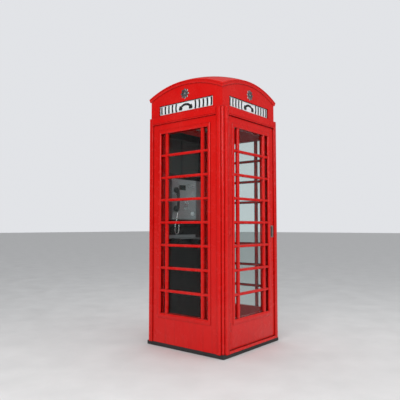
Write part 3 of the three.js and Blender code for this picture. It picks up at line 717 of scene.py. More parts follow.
def window_loop(margin, y):
    """A rectangle round the window opening. Below, a margin is as much wider as the sill is."""
    below = margin * SILL_WIDTH / MOULDING_WIDTH if margin > 0 else margin
    half = WINDOW_HALF + margin
    bottom, top = WINDOW_BOTTOM - below, WINDOW_TOP + margin
    return [(-half, y, bottom), (half, y, bottom), (half, y, top), (-half, y, top)]


# ---------- Base and posts ----------


def make_posts():
    """The four corner posts: on each face a jamb with a quirk beside the opening, and a corner bead."""
    sweep = math.degrees(math.acos((JAMB_EDGE - BEAD_CENTRE) / BEAD_RADIUS))
    quirk = OPENING + 11
    floor = FACE - QUIRK_DEPTH
    outer, inner = 3, 4  # the radii of the jamb's two arrises
    half = [
        *arc(BEAD_CENTRE, BEAD_CENTRE, BEAD_RADIUS, 45, sweep, 9),
        *arc(JAMB_EDGE - outer, FACE - outer, outer, 0, 90, 4),
        (quirk + 2.6, FACE), (quirk + 1.6, floor), (quirk - 0.6, floor), (quirk - 1.6, FACE),
        *arc(OPENING + inner, FACE - inner, inner, 90, 180, 5),
        (OPENING, STOP_FACE), (STOP_EDGE, STOP_FACE), (STOP_EDGE, STOP_EDGE),
    ]
    outline = half + [(y, x) for x, y in reversed(half)][1:-1]
    corners = {"back_right": "front", "back_left": "right", "front_left": "back", "front_right": "left"}
    for name, side in corners.items():
        shape = Shape()
        shape.stack([[(x, y, z) for x, y in outline] for z in (BODY_BOTTOM, BODY_TOP)], capped=True)
        piece("post_" + name, shape, "red_iron", side=side, replaces=["corner_post_" + name], angle=40)


def head_outline():
    """A head's section as (y, z): its front is flush with the jambs, with a quirk along its lower edge."""
    bottom, top = HEAD_BOTTOM, BODY_TOP
    floor = QUIRK_DEPTH - FACE
    chamfer, arris = 2, 4
    return [
        (-PANEL_BACK, bottom), (-PANEL_BACK, top), (-FACE + chamfer, top), (-FACE, top - chamfer),
        (-FACE, bottom + 12), (floor, bottom + 11), (floor, bottom + 8.8), (-FACE, bottom + 7.8),
        *arc(-FACE + arris, bottom + arris, arris, 180, 270, 5),
    ]


def make_lintel():
    """The lintel over the door, with the stop that the leaf closes against."""
    shape = Shape()
    shape.bar(head_outline(), -FRAME_HALF, FRAME_HALF)
    stop = OPENING - STOP_EDGE
    low = (LINTEL_LOW.x + stop, -PANEL_BACK, LINTEL_LOW.z)
    shape.block(low, (LINTEL_HIGH.x - stop, LINTEL_HIGH.y, BODY_TOP))
    piece("lintel", shape, "red_iron", replaces=["door_lintel"])


# ---------- Panels, moulding and glazing ----------

# The moulding's section as (margin round the window, height above the panel).
MOULDING = [
    (28, 0), (28, 3), (27.2, 4.4), (24.6, 5.2), (21.6, 5.5), (20, 6.6), (18.4, 7.7), (15.5, MOULDING_PROUD),
    (8.5, MOULDING_PROUD), (5.4, 7.6), (2.4, 6.4), (-0.6, 4.4), (-2.6, 2.2), (-COLLAR, -1),
]


def make_moulding(name, body, side, slot, back):
    """The moulded border round a window, deeper below as a sill."""
    shape = Shape()
    profile = [(margin, -PANEL_FACE - proud) for margin, proud in MOULDING]
    profile += [(-COLLAR, back), (MOULDING_WIDTH - COLLAR, back)]
    shape.stack([window_loop(margin, y) for margin, y in profile], closed=True)
    piece(name, shape, slot, body=body, side=side, angle=28)


def make_glazing(name, body, side, slot):
    """The glazing bars: one lattice of 24 panes, each bar narrowing to its nose."""
    nose = [(5.5, 0), (5.2, 0.8), (3.9, 2.8), (1.9, 4.4), (0.5, 6.6), (0, 9.5)]
    rim = [*[(margin, depth - PANEL_FACE) for margin, depth in nose], (0, BARS_BACK)]
    pitch = (WINDOW_TOP - WINDOW_BOTTOM) / ROWS
    columns = [
        (-WINDOW_HALF + COLLAR, -MULLION_CENTRE - MULLION_HALF),
        (-MULLION_CENTRE + MULLION_HALF, MULLION_CENTRE - MULLION_HALF),
        (MULLION_CENTRE + MULLION_HALF, WINDOW_HALF - COLLAR),
    ]
    cells = []
    for row in range(ROWS):
        bottom = WINDOW_BOTTOM + row * pitch + (BAR_HALF if row else COLLAR)
        top = WINDOW_BOTTOM + (row + 1) * pitch - (BAR_HALF if row < ROWS - 1 else COLLAR)
        cells += [(left, right, bottom, top) for left, right in columns]
    hidden = 6
    outline = (-WINDOW_HALF - hidden, WINDOW_HALF + hidden, WINDOW_BOTTOM - hidden, WINDOW_TOP + hidden)
    shape = Shape()
    plate(shape, outline, [(0, -PANEL_FACE + 0.5), (0, BARS_BACK)], [(cell, rim, True) for cell in cells])
    replaces = [name.replace("lattice", "glazing_bars")]
    piece(name, shape, slot, body=body, side=side, replaces=replaces, angle=28)
    return cells


def make_panes(name, body, side, cells, chance):
    """One thin pane behind each opening of the lattice, each leaning a little its own way."""
    shape = Shape()
    lap, half_thick, lean = 5, 1.5, 0.4
    middle = (GLASS_FRONT + GLASS_BACK) / 2
    for left, right, bottom, top in cells:
        x, z = (left + right) / 2, (bottom + top) / 2
        half_x, half_z = (right - left) / 2 + lap, (top - bottom) / 2 + lap
        lean_x = chance.uniform(-lean, lean) / half_x
        lean_z = chance.uniform(-lean, lean) / half_z
        corners = [(-half_x, -half_z), (half_x, -half_z), (half_x, half_z), (-half_x, half_z)]
        faces = [
            [(x + u, middle + depth + u * lean_x + v * lean_z, z + v) for u, v in corners]
            for depth in (-half_thick, half_thick)
        ]
        shape.stack(faces, capped=True)
    replaces = [name.replace("panes", "glass")]
    piece(name, shape, "clear_glass", body=body, side=side, replaces=replaces, angle=20)


def opening_rims(front, back):
    """A window opening's profile: straight in to the glass, a lip behind it, and out through the back."""
    return [(0, front), (0, GLASS_BACK + GAP), (-REBATE, GLASS_BACK + GAP), (-REBATE, back)]


def make_side(side):
    """A fixed glazed side: its panel, head, moulding and lattice. It returns the lattice's openings, which
    the panes fill.
    """
    shape = Shape()
    window = (-WINDOW_HALF, WINDOW_HALF, WINDOW_BOTTOM, WINDOW_TOP)
    edge = [(0, -PANEL_FACE), (0, -PANEL_BACK)]
    outline = (-FRAME_HALF, FRAME_HALF, BODY_BOTTOM, HEAD_BOTTOM)
    plate(shape, outline, edge, [(window, opening_rims(-PANEL_FACE, -PANEL_BACK), True)])
    shape.bar(head_outline(), -FRAME_HALF, FRAME_HALF)
    piece(side + "_panel", shape, "red_iron", side=side, replaces=[side + "_side_frame"], angle=30)
    make_moulding(side + "_moulding", "kiosk", side, "red_glazing", MOULDING_BACK)
    return make_glazing(side + "_lattice", "kiosk", side, "red_glazing")


def make_back():
    """The blank back wall: a moulded border round a sunk field outside, and a near-black lining inside whose
    colour is partly painted shade, standing in for the shade inside the kiosk.
    """
    shape = Shape()
    field = (-WINDOW_HALF, WINDOW_HALF, WINDOW_BOTTOM, WINDOW_TOP)
    sunk = -PANEL_FACE + 18
    rim = [(0, -PANEL_FACE), (0, sunk + 3), (-1, sunk + 1), (-3, sunk)]
    edge = [(0, -PANEL_FACE), (0, -PANEL_BACK)]
    plate(shape, (-FRAME_HALF, FRAME_HALF, BODY_BOTTOM, HEAD_BOTTOM), edge, [(field, rim, False)])
    # The inner face gets the near-black lining, partly painted shade for the kiosk's dark interior.
    for i, corners in enumerate(shape.faces):
        if all(abs(y + PANEL_BACK) < GAP for _, y, _ in corners):
            shape.finishes[i] = 1
    shape.bar(head_outline(), -FRAME_HALF, FRAME_HALF)
    finishes = ["red_iron", "inner_black_shade"]
    piece("rear_panel", shape, "red_iron", side="back", replaces=["back_panel"], finishes=finishes, angle=30)
    make_moulding("rear_moulding", "kiosk", "back", "red_iron", sunk)


def make_door():
    """The teak door: its leaf with a pocket for the pull, moulding and lattice. It returns the lattice's
    openings, which the panes fill.
    """
    shape = Shape()
    window = (-WINDOW_HALF, WINDOW_HALF, WINDOW_BOTTOM, WINDOW_TOP)
    flange_side, flange_end, depth = 3.7, 6.7, 22
    pocket = (
        PULL_LOW.x + flange_side, PULL_HIGH.x - flange_side,
        PULL_LOW.z + flange_end, PULL_HIGH.z - flange_end,
    )
    pocket_rim = [(0, -PANEL_FACE), (0, -PANEL_FACE + depth)]
    edge = [(1.5, -PANEL_FACE), (0.4, -PANEL_FACE + 0.5), (0, -PANEL_FACE + 1.6), (0, -LEAF_BACK)]
    holes = [(window, opening_rims(-PANEL_FACE, -LEAF_BACK), True), (pocket, pocket_rim, False)]
    plate(shape, (LEAF_LOW.x, LEAF_HIGH.x, LEAF_LOW.z, LEAF_HIGH.z), edge, holes)
    piece("leaf", shape, "red_teak", body="door", replaces=["door_leaf"], angle=30)
    make_moulding("door_moulding", "door", "front", "red_glazing", MOULDING_BACK)
    return make_glazing("door_lattice", "door", "front", "red_glazing")


# ---------- Screws ----------


def make_screws(name, places, radius, slot, body):
    """Domed screws with a slot across, at (x, y, z) places, all facing -Y. Each slot is a black bar just
    proud of the dome: painted shade where a cut slot would be.
    """
    shape = Shape()
    height, reach, half_slot = radius * 0.5, radius * 0.8, radius * 0.16
    quarter = [math.radians(15 * step) for step in range(7)]
    rise = [(radius * math.cos(angle), -height * math.sin(angle)) for angle in quarter]
    for x, y, z in places:
        shape.lathe([(radius, 0.2), *rise], (x, y, z), axis="y", sides=20)
        high = (x + reach, y - height * 0.6, z + half_slot)
        # The slot: a black bar standing on the dome, painted shade in place of a cut groove.
        shape.block((x - reach, y - height - 0.15, z - half_slot), high, finish=1)
    piece(name, shape, slot, body=body, finishes=[slot, "black_print_and_shade"], angle=30)


# ---------- Roof ----------

LIP_EDGE = [(4, 0), (1.6, 0.5), (0.4, 1.8), (0, 3.6), (0, 8), (0.8, 9.6), (2.6, 10.2)]
COVE_WIDTH, COVE_DROP = LIP - 3 - FASCIA, 27
LIP_PROFILE = [
    *[(LIP - inset, depth) for inset, depth in LIP_EDGE],
    *[
        (FASCIA + COVE_WIDTH * math.cos(angle), 10.4 + COVE_DROP * math.sin(angle))
        for angle in (math.radians(9 * step) for step in range(1, 11))
    ],
]
SIGN_CHAMFER = 1
SIGN_EDGE = SIGN_HALF + SIGN_CHAMFER
ROOF_COLUMNS = sorted([x * 33 for x in range(-12, 13)] + [-SIGN_EDGE, SIGN_EDGE])


def sphere(x, y, depth):
    """The height of the dome above a point on plan, some depth below its outer surface."""
    return DOME_CENTRE + math.sqrt((DOME_RADIUS - depth) ** 2 - x * x - y * y)


def quarter_turn(point, quarter):
    """A point turned about z by a number of quarter turns."""
    x, y, z = point
    return [(x, y, z), (-y, x, z), (-x, -y, z), (y, -x, z)][quarter]


def roof_columns(half):
    """The roof's lines across a square of this half width."""
    return [-half, *ROOF_COLUMNS, half]


def roof_loop(half, depth):
    """A square loop of points on the dome at some depth."""
    side = [(x, -half, sphere(x, half, depth)) for x in roof_columns(half)[:-1]]
    return [quarter_turn(point, quarter) for quarter in range(4) for point in side]


def add_dome_skin(shape, half, depth):
    """The dome's surface over a square."""
    lines = roof_columns(half)
    for x0, x1 in zip(lines, lines[1:]):
        for y0, y1 in zip(lines, lines[1:]):
            shape.face(*[(x, y, sphere(x, y, depth)) for x, y in ((x0, y0), (x1, y0), (x1, y1), (x0, y1))])


def add_fascia(shape, quarter):
    """One fascia, outside and inside, with its sign opening and the vent groove along its foot."""
    bottom, groove_top = ROOF_LOW.z, ROOF_LOW.z + VENT_HEIGHT
    sill, head = SIGN_BOTTOM - SIGN_CHAMFER, SIGN_TOP + SIGN_CHAMFER

    def add(*corners):
        """One face, turned to this fascia's side."""
        shape.face(*[quarter_turn(corner, quarter) for corner in corners])

    for half, depth in ((FASCIA, LIP_PROFILE[-1][1]), (FASCIA_INSIDE, DOME_WALL)):
        columns = roof_columns(half)
        for x0, x1 in zip(columns, columns[1:]):
            within = abs(x0 + x1) / 2 < SIGN_EDGE
            tops = [sphere(x, half, depth) for x in (x0, x1)]
            for low, high in ((bottom, groove_top), (groove_top, sill), (sill, head)):
                grooved = half == FASCIA and low == bottom
                if not (within and (low == sill or grooved)):
                    add((x0, -half, low), (x1, -half, low), (x1, -half, high), (x0, -half, high))
            add((x0, -half, head), (x1, -half, head), (x1, -half, tops[1]), (x0, -half, tops[0]))
    for outer, inner in ((FASCIA, VENT_BACK), (VENT_BACK, FASCIA_INSIDE)):
        for i in range(len(ROOF_COLUMNS) + 1):
            (x0, x1), (u0, u1) = roof_columns(outer)[i : i + 2], roof_columns(inner)[i : i + 2]
            level = groove_top if outer == FASCIA and abs(x0 + x1) / 2 < SIGN_EDGE else bottom
            add((x0, -outer, level), (x1, -outer, level), (u1, -inner, level), (u0, -inner, level))
    inside = [x for x in ROOF_COLUMNS if abs(x) <= SIGN_EDGE]
    for x0, x1 in zip(inside, inside[1:]):
        corners = ((x0, bottom), (x1, bottom), (x1, groove_top), (x0, groove_top))
        add(*[(x, -VENT_BACK, z) for x, z in corners])
    for x in (-SIGN_EDGE, SIGN_EDGE):
        corners = ((FASCIA, bottom), (VENT_BACK, bottom), (VENT_BACK, groove_top), (FASCIA, groove_top))
        add(*[(x, -out, z) for out, z in corners])
    loops = []
    for inset, y in ((0, -FASCIA), (SIGN_CHAMFER, -FASCIA + SIGN_CHAMFER), (0, -FASCIA_INSIDE)):
        below = [(max(min(x, SIGN_EDGE - inset), inset - SIGN_EDGE), y, sill + inset) for x in inside]
        above = [(x, y, head - inset) for x, _, _ in reversed(below)]
        loops.append([quarter_turn(point, quarter) for point in below + above])
    shape.stack(loops)


def make_roof():
    """The roof casting: dome, lip, cove and four fascias, hollow below."""
    shape = Shape()
    shape.stack([roof_loop(half, depth) for half, depth in LIP_PROFILE])
    add_dome_skin(shape, LIP_PROFILE[0][0], 0)
    add_dome_skin(shape, FASCIA_INSIDE, DOME_WALL)
    for quarter in range(4):
        add_fascia(shape, quarter)
    piece("roof", shape, "red_iron", replaces=["roof_casting"], angle=32)


def flat_mark(shape, outline, front, thick):
    """A flat raised mark facing -Y, from an outline of (x, z) points."""
    shape.stack([[(x, y, z) for x, z in outline] for y in (front, front + thick)], capped=True)


def make_sign(side):
    """A sign on its opal glass: a handset between two sets of sound waves, inside a black rim that is painted
    shadow, standing in for the shadow line at the opening's edge.
    """
    shape = Shape()
    thick = 0.8
    front = SIGN_LOW.y - GAP - thick
    middle = (SIGN_BOTTOM + SIGN_TOP) / 2
    waves, first, pitch, half_tall, stroke = 5, 110, 45, 35, 17
    for wave in range(waves):
        radius = first + pitch * wave
        half = math.degrees(math.asin(half_tall / radius))
        for facing in (0, 180):
            outer = arc(0, middle, radius + stroke, facing - half, facing + half, 10)
            inner = arc(0, middle, radius, facing + half, facing - half, 10)
            flat_mark(shape, outer + inner, front, thick)
    grip_centre, grip_outer, grip_inner = middle - 66, 94, 74
    grip = arc(0, grip_centre, grip_outer, 135, 45, 16) + arc(0, grip_centre, grip_inner, 45, 135, 16)
    flat_mark(shape, grip, front, thick)
    for way in (-1, 1):
        cap = [(38, -14), (42, -30), (78, -30), (82, -14), (72, 10), (50, 8)]
        points = [(way * x, middle + z) for x, z in cap]
        flat_mark(shape, points if way > 0 else points[::-1], front - 0.2, thick)
    # The black rim round the sign is painted shadow, standing in for the shadow line at the opening's edge.
    shadow_rim = 3.2  # its width, and how far it stands in front of the glass
    outline = (-SIGN_HALF + GAP, SIGN_HALF - GAP, SIGN_BOTTOM + GAP, SIGN_TOP - GAP)
    window = (-SIGN_HALF + shadow_rim, SIGN_HALF - shadow_rim, SIGN_BOTTOM + shadow_rim, SIGN_TOP - shadow_rim)
    near, far = SIGN_LOW.y - shadow_rim, SIGN_LOW.y - GAP
    plate(shape, outline, [(0, near), (0, far)], [(window, [(-0.6, near), (0.4, far)], True)])
    piece("sign_marks_and_shadow_" + side, shape, "notice_dark", side=side, finishes=["black_print_and_shade"], angle=30)


def rosette_height(share, angle):
    """How far the rosette stands out at a share of its radius: two rings of eight petals, and a boss."""
    outer_petal = abs(math.cos(4 * angle))
    inner_petal = abs(math.sin(4 * angle))
    vein = 1.0 * math.exp(-(((1 - outer_petal) / 0.03) ** 2)) * min(share, 0.8)
    outer = 5.4 * (0.25 + 0.75 * outer_petal**0.5) * math.sqrt(max(0.0, 1 - share**5)) - vein
    whorl = share / 0.58
    inner = 8.2 * (0.35 + 0.65 * inner_petal**0.5) * math.sqrt(max(0.0, 1 - whorl**4))
    boss = 10.8 * math.sqrt(max(0.0, 1 - (share / 0.24) ** 2))
    return max(outer, inner, boss)


def make_emblem(side):
    """The cast rosette on a fascia."""
    shape = Shape()
    centre = (EMBLEM_LOW.z + EMBLEM_HIGH.z) / 2
    back = EMBLEM_HIGH.y
    rings, spokes, radius, lobe = 26, 128, 44, 6.5
    loops = []
    for ring in range(rings + 1):
        share = math.sin(math.pi / 2 * ring / rings)
        loop = []
        for spoke in range(spokes):
            angle = 2 * math.pi * spoke / spokes
            reach = share * (radius + lobe * math.cos(8 * angle))
            rise = rosette_height(share, angle)
            loop.append((reach * math.cos(angle), back - rise, centre + reach * math.sin(angle)))
        loops.append(loop)
    shape.stack(loops)
    shape.face(*loops[-1])
    piece("rosette_" + side, shape, "emblem_metal", side=side, replaces=["roof_emblem_" + side], angle=50)


def make_lamp():
    """The opal bowl under the ceiling, with its rim."""
    shape = Shape()
    radius, drop = LAMP_HIGH.x, LAMP_HIGH.z - LAMP_LOW.z
    rim_width, rim_height, sides = 10, 8, 64
    bowl = radius - 6
    profile = [
        (bowl * math.sin(angle), LAMP_LOW.z + (drop - rim_height) * (1 - math.cos(angle)))
        for angle in (math.radians(7.5 * step) for step in range(13))
    ]
    shape.lathe([*profile, (0, LAMP_HIGH.z - rim_height)], (0, 0, 0), sides=sides)
    inner = (rim_width, rim_height)
    rim = [inner, (3, 8.6), (0.6, 7), (0, 4), (0, 0), (rim_width, 0), inner]
    shape.lathe([(radius - inset, LAMP_HIGH.z - h) for inset, h in rim], (0, 0, 0), sides=sides, finish=1)
    finishes = ["lamp_opal", "key_metal"]
    piece("lamp", shape, "lamp_opal", replaces=["ceiling_lamp"], finishes=finishes, angle=40)


# ---------- Back wall ----------


def make_notices():
    """Two faded cards in the notice frame, each with a dark picture and rows of printed bars."""
    shape = Shape()
    border, divide, half_divide = 12, -24, 8
    y = NOTICE_LOW.y + border / 2 - 0.8
    bottom, top = NOTICE_LOW.z + border, NOTICE_HIGH.z - border
    picture_margin, picture_low, picture_high = 14, 96, 22  # low and high are below the card's top
    margin, first_row, rows, row_pitch, half_tall = 18, 120, 13, 15, 2.2
    spans = ((NOTICE_LOW.x + border, divide - half_divide), (divide + half_divide, NOTICE_HIGH.x - border))

    def printed(x0, x1, z0, z1):
        """A dark rectangle just proud of the card."""
        shape.block((x0, y - 0.2, z0), (x1, y - 0.05, z1), finish=1)

    for left, right in spans:
        shape.block((left + GAP, y, bottom + GAP), (right - GAP, y + 0.6, top - GAP))
        printed(left + picture_margin, right - picture_margin, top - picture_low, top - picture_high)
        width = right - left - 2 * margin
        for row in range(rows):
            z = top - first_row - row_pitch * row
            reach = width * (0.62 + 0.38 * math.sin(2.1 * row + left) ** 2)
            printed(left + margin, left + margin + reach, z - half_tall, z + half_tall)
    piece("notice_cards", shape, "notice_dark", finishes=["notice_card", "black_print_and_shade"], angle=30)


def make_keys():
    """The twelve caps of the keypad, each with its legend raised on it."""
    flange, thick, overlap = 1.3, 2.5, 1.7
    for name in KEYS:
        low, high = box_mm("key_" + name)
        cap = Shape()
        front_high = (high.x - flange, high.y - thick + overlap, high.z - flange)
        cap.block((low.x + flange, low.y, low.z + flange), front_high)
        cap.block((low.x, high.y - thick, low.z), high)
        body = "key_" + name + "_cap"
        piece("keycap_" + name, cap, "key_metal", body=body, replaces=["key_" + name], bevel=0.9)
        curve = bpy.data.curves.new("legend", "FONT")
        curve.body = LEGENDS.get(name, name)
        curve.size = 13 * MM
        curve.extrude = 0.2 * MM
        curve.align_x, curve.align_y = "CENTER", "CENTER"
        written = bpy.data.objects.new("legend", curve)
        mesh = bpy.data.meshes.new_from_object(written)
        bpy.data.objects.remove(written)
        middle = (low + high) / 2 * MM
        middle.y = (low.y - 0.15) * MM
        mesh.transform(Matrix.Translation(middle) @ Matrix.Rotation(math.pi / 2, 4, "X"))
        mesh.materials.clear()
        mesh.materials.append(FINISHES["black_print_and_shade"])
        legend = bpy.data.objects.new("legend_" + name, mesh)
        bpy.context.scene.collection.objects.link(legend)
        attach(legend, body)


def make_phone_details():
    """What the cover carries: a bezel round the coin slot, and the display behind its window."""
    shape = Shape()
    front = COVER_LOW.y
    ring = [(20.4, 2.4), (20.4, 0), (19.4, -0.9), (17.6, -1.2), (15.8, -0.7), (15.0, 0.6), (15.0, 2.4)]
    shape.lathe([*ring, ring[0]], (COIN_X, front, COIN_Z), axis="y", sides=48)
    piece("coin_bezel", shape, "key_metal", angle=40)

    screen = Shape()
    low, high = DISPLAY_LOW, DISPLAY_HIGH
    screen.block((low.x + 1, high.y + 0.4, low.z + 1), (high.x - 1, high.y + 3, high.z - 1))
    digits = 6
    pitch = (high.x - low.x - 16) / digits
    for digit in range(digits):
        left = low.x + 10 + digit * pitch
        for row in (-13, 0, 13):
            middle = (low.z + high.z) / 2 + row
            right = left + pitch - 6
            screen.block((left, high.y + 0.1, middle - 1), (right, high.y + 0.35, middle + 1), finish=1)
    piece("display_screen", screen, "notice_dark", finishes=["notice_card", "black_print_and_shade"], angle=30)


def make_flap():
    """The coin return's flap: a plate with a rib along its foot, hung on a pin near its top."""
    shape = Shape()
    low, high = FLAP_LOW, FLAP_HIGH
    pin_radius, pin_end, axis_z = 1.2, 2.5, high.z - 3.4
    middle = (low.y + high.y) / 2
    left, right = low.x + pin_end, high.x - pin_end
    shape.block((left, low.y, low.z), (right, high.y, high.z))
    shape.block((left + 6, low.y - 0.7, low.z + 5), (right - 6, low.y + 0.4, low.z + 9))
    pin = arc(middle, axis_z, pin_radius, 0, 345, 23)
    for x0, x1 in ((low.x, left), (right, high.x)):
        shape.bar(pin, x0, x1)
    piece("return_flap", shape, "key_metal", body="return_flap", replaces=["coin_return_flap"], bevel=0.35)


def make_handset():
    """The receiver: two domed caps on a bowed grip, and the stub where the cord leaves."""
    shape = Shape()
    cap = [
        (0, 254.6), (14, 254.9), (21, 256.0), (26, 258.6), (28.6, 262.5), (CAP_RADIUS, 267),
        (CAP_RADIUS, 272.4), (28.2, 273), (28.2, 274), (CAP_RADIUS, 274.6), (CAP_RADIUS, 278),
        (27.8, 280.4), (25, 281), (0, 281),
    ]
    for z in (EAR_Z, MOUTH_Z):
        shape.lathe(cap, (HANDSET_X, 0, z), axis="y", sides=48)
        # The ear and mouth holes are black discs on the caps: painted shade where holes would be.
        for u, v in [(0, 0), *arc(0, 0, 7, 0, 300, 5)]:
            hole = [(0, 281.25), (1.3, 281.25), (1.3, 280.6), (0, 280.6)]
            shape.lathe(hole, (HANDSET_X + u, 0, z + v), axis="y", sides=10, finish=1)
    steps, sides = 36, 28
    low, high = MOUTH_Z - 14, EAR_Z + 14
    loops = []
    for step in range(steps + 1):
        along = step / steps
        z = low + (high - low) * along
        swell = math.sin(math.pi * along)
        ends = min(1.0, 0.25 + 3.2 * min(along, 1 - along) ** 0.6)
        half_x, half_y = (16 - 2.4 * swell**2) * ends, (10.5 + 0.5 * swell) * ends
        y = 255.5 - 8 * swell**0.7
        loop = []
        for side in range(sides):
            angle = 2 * math.pi * side / sides
            c, s = math.cos(angle), math.sin(angle)
            u = half_x * math.copysign(abs(c) ** 0.8, c)
            v = half_y * math.copysign(abs(s) ** 0.8, s)
            loop.append((HANDSET_X + u, y + v, z))
        loops.append(loop)
    shape.stack(loops, capped=True)
    bottom = HANDSET_LOW.z
    stub = [(0, 0), (5.6, 0), (6.4, 1), (7, 4), (7, 24), (0, 24)]
    shape.lathe([(r, bottom + h) for r, h in stub], (HANDSET_X, CORD_ROUTE[0][1] / MM, 0), sides=28)
    finishes = ["black_plastic", "black_print_and_shade"]
    piece(
        "receiver_handset", shape, "black_plastic", body="receiver", replaces=["handset"], finishes=finishes,
        angle=45,
    )


# ---------- Cord ----------


def smooth_path(points, per_span):
    """Points on one smooth curve through all the points given."""
    ends = [points[0], *points, points[-1]]
    path = []
    for i in range(len(points) - 1):
        a, b, c, d = (Vector(p) for p in ends[i : i + 4])
        for step in range(per_span):
            t = step / per_span
            square, cube = (2 * a - 5 * b + 4 * c - d) * t**2, (3 * b - a - 3 * c + d) * t**3
            path.append(0.5 * (2 * b + (c - a) * t + square + cube))
    path.append(Vector(points[-1]))
    return path


def make_cord():
    """The armoured cord: a spiral-wound steel hose, hung from the handset's stub and up into the gland."""
    path = smooth_path(CORD_ROUTE, 32)
    radius, groove, pitch, sides = CORD_DIAMETER / 2, 0.00045, 0.0032, 14
    across = Vector((1, 0, 0))
    travelled = 0.0
    shape = Shape()
    loops = []
    for i, point in enumerate(path):
        ahead = (path[min(i + 1, len(path) - 1)] - path[max(i - 1, 0)]).normalized()
        if i:
            travelled += (point - path[i - 1]).length
        across = (across - ahead * across.dot(ahead)).normalized()
        other = ahead.cross(across)
        loop = []
        for side in range(sides):
            angle = 2 * math.pi * side / sides
            wind = 0.5 + 0.5 * math.cos(2 * math.pi * travelled / pitch - angle)
            reach = radius - groove * wind**3
            outward = math.cos(angle) * across + math.sin(angle) * other
            loop.append(tuple((point + reach * outward) / MM))
        loops.append(loop)
    shape.stack(loops, capped=True)
    cord = piece("armoured_cord", shape, "cord_steel", body=None, replaces=["handset_cord"], angle=60)
    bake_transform(cord)


def make_gland():
    """The ribbed rubber gland under the case that the cord goes into."""
    shape = Shape()
    low, high = GLAND_LOW.z, GLAND_HIGH.z
    radius = (GLAND_HIGH.x - GLAND_LOW.x) / 2
    x, y = (GLAND_LOW.x + GLAND_HIGH.x) / 2, (GLAND_LOW.y + GLAND_HIGH.y) / 2
    profile = [(0, low), (5.2, low)]
    ribs = 4
    for rib in range(ribs):
        z = low + 1 + rib * 4
        wide = 5.6 + 0.75 * rib
        profile += [(wide, z), (wide, z + 2), (wide - 0.9, z + 2.6), (wide - 0.9, z + 3.4)]
    profile += [(radius, high - 4), (radius, high), (0, high)]
    shape.lathe(profile, (x, y, 0), sides=32)
    piece("gland", shape, "gland_rubber", replaces=["cord_gland"], angle=40)


# ---------- Setting ----------


def make_sky():
    """A plain pale backdrop. The light it throws comes more from above and from the door's side."""
    world = bpy.data.worlds.new("studio")
    world.use_nodes = True
    bpy.context.scene.world = world
    sky = Nodes(world.node_tree)
    place = sky.add("ShaderNodeTexCoord").outputs["Generated"]
    rays = sky.add("ShaderNodeLightPath").outputs

    def graded(direction, low, high):
        """Brightness that goes from low to high along a direction."""
        toward = sky.combine("ShaderNodeVectorMath", {"operation": "DOT_PRODUCT"}, "Value", place, direction)
        return sky.span(toward, -0.6, 0.8, low, high)

    def backdrop(strength):
        """A plain pale background shader."""
        return sky.add("ShaderNodeBackground", Color=(0.95, 0.965, 1.0, 1.0), Strength=strength).outputs[0]

    up, door_side = (0, 0, 1), (0.71, -0.71, 0)
    lighting = sky.math("MULTIPLY", graded(up, 0.35, 0.95), graded(door_side, 0.60, 1.0))
    mirrored = sky.math("MULTIPLY", graded(up, 0.12, 0.26), graded(door_side, 0.15, 1.0))
    lit = sky.either(rays["Is Glossy Ray"], backdrop(lighting), backdrop(mirrored))
    looking = sky.math("MAXIMUM", rays["Is Camera Ray"], rays["Is Transmission Ray"])
    surface = sky.tree.nodes["World Output"].inputs["Surface"]
    sky.feed(surface, sky.either(looking, lit, backdrop(0.80)))


def make_setting():
    """A pale floor, a pale sky and three soft lamps."""
    floor = bpy.data.meshes.new("floor")
    reach = 80
    corners = [(-reach, -reach, 0), (reach, -reach, 0), (reach, reach, 0), (-reach, reach, 0)]
    floor.from_pydata(corners, [], [(0, 1, 2, 3)])
    floor.materials.append(FINISHES["ground"])
    ground = bpy.data.objects.new("floor", floor)
    bpy.context.scene.collection.objects.link(ground)

    make_sky()
    bpy.context.scene.view_settings.view_transform = "Standard"

    lamps = {
        "key": ((-4.6, -1.8, 3.4), 3.0, 150),
        "fill": ((0.6, -5.0, 2.8), 3.0, 60),
        "top": ((0.5, 0.5, 5.2), 2.4, 40),
    }
    for name, (place, size, power) in lamps.items():
        data = bpy.data.lights.new(name, "AREA")
        data.shape = "SQUARE"
        data.size = size
        data.energy = power
        lamp = bpy.data.objects.new(name, data)
        lamp.location = place
        lamp.visible_glossy = name != "top"
        lamp.rotation_euler = (Vector((0, 0, 1.2)) - Vector(place)).to_track_quat("-Z", "Y").to_euler()
        bpy.context.scene.collection.objects.link(lamp)


# ---------- Assembly ----------

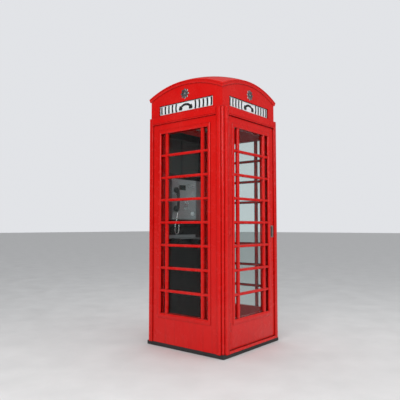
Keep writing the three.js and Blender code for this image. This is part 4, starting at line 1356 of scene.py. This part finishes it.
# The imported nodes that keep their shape: their finish, and the width of their bevels in millimetres.
DRESSED = {
    "base_plinth": ("plinth_black", 4),
    "threshold": ("red_iron", 1.5),
    "door_pull": ("pull_metal", 0.8),
    "ceiling_panel": ("ceiling_cream", 1.5),
    "backboard": ("board_steel", 1.5),
    "notice_frame": ("notice_dark", 1.2),
    "shelf": ("board_steel", 1.2),
    "payphone_case": ("case_grey", 1.2),
    "payphone_cover": ("cover_steel", 0.5),
    "display_window": ("clear_glass", 0.4),
    "coin_reject_button": ("key_metal", 0.6),
    "hook_plunger": ("black_plastic", 0.5),
    "handset_cradle": ("key_metal", 1.2),
}

make_camera()
make_cord()
for node, (slot_name, bevel_width) in DRESSED.items():
    dress(node, slot_name, bevel_width)

make_posts()
make_lintel()
chance = random.Random(11)
for side_name in ("left", "right"):
    make_panes(side_name + "_panes", "kiosk", side_name, make_side(side_name), chance)
make_back()
make_panes("door_panes", "door", "front", make_door(), chance)
for height in HINGE_HEIGHTS:
    for half in ("frame", "door"):
        dress("hinge_" + half + "_half_" + height, "red_hinge", 0.2)

make_roof()
for side_name in QUARTERS:
    dress("sign_glass_" + side_name, "opal_glass", 0.5)
    make_sign(side_name)
    make_emblem(side_name)
make_lamp()

make_notices()
make_phone_details()
make_flap()
make_keys()
make_handset()
make_gland()

hinge_screws = [
    (x, -PANEL_FACE - 3, height + z)
    for height in HINGE_HEIGHTS.values() for x in (-352, -338) for z in (-30, 0, 30)
]
make_screws("hinge_screws", hinge_screws, 3.4, "red_hinge", "door")
pull_screws = [((PULL_LOW.x + PULL_HIGH.x) / 2, PULL_LOW.y, z) for z in (PULL_LOW.z + 4, PULL_HIGH.z - 4)]
make_screws("pull_screws", pull_screws, 2.4, "pull_metal", "door")
board_screws = [(x, BOARD_LOW.y, z) for x in (140, 262) for z in (BOARD_LOW.z + 20, BOARD_HIGH.z - 20)]
make_screws("board_screws", board_screws, 5, "board_steel", "kiosk")
cover_screws = [
    (x, COVER_LOW.y + 2, z)
    for x in (COVER_LOW.x + 12, COVER_HIGH.x - 12) for z in (COVER_LOW.z + 12, COVER_HIGH.z - 12)
]
make_screws("cover_screws", cover_screws, 4, "key_metal", "kiosk")

make_setting()
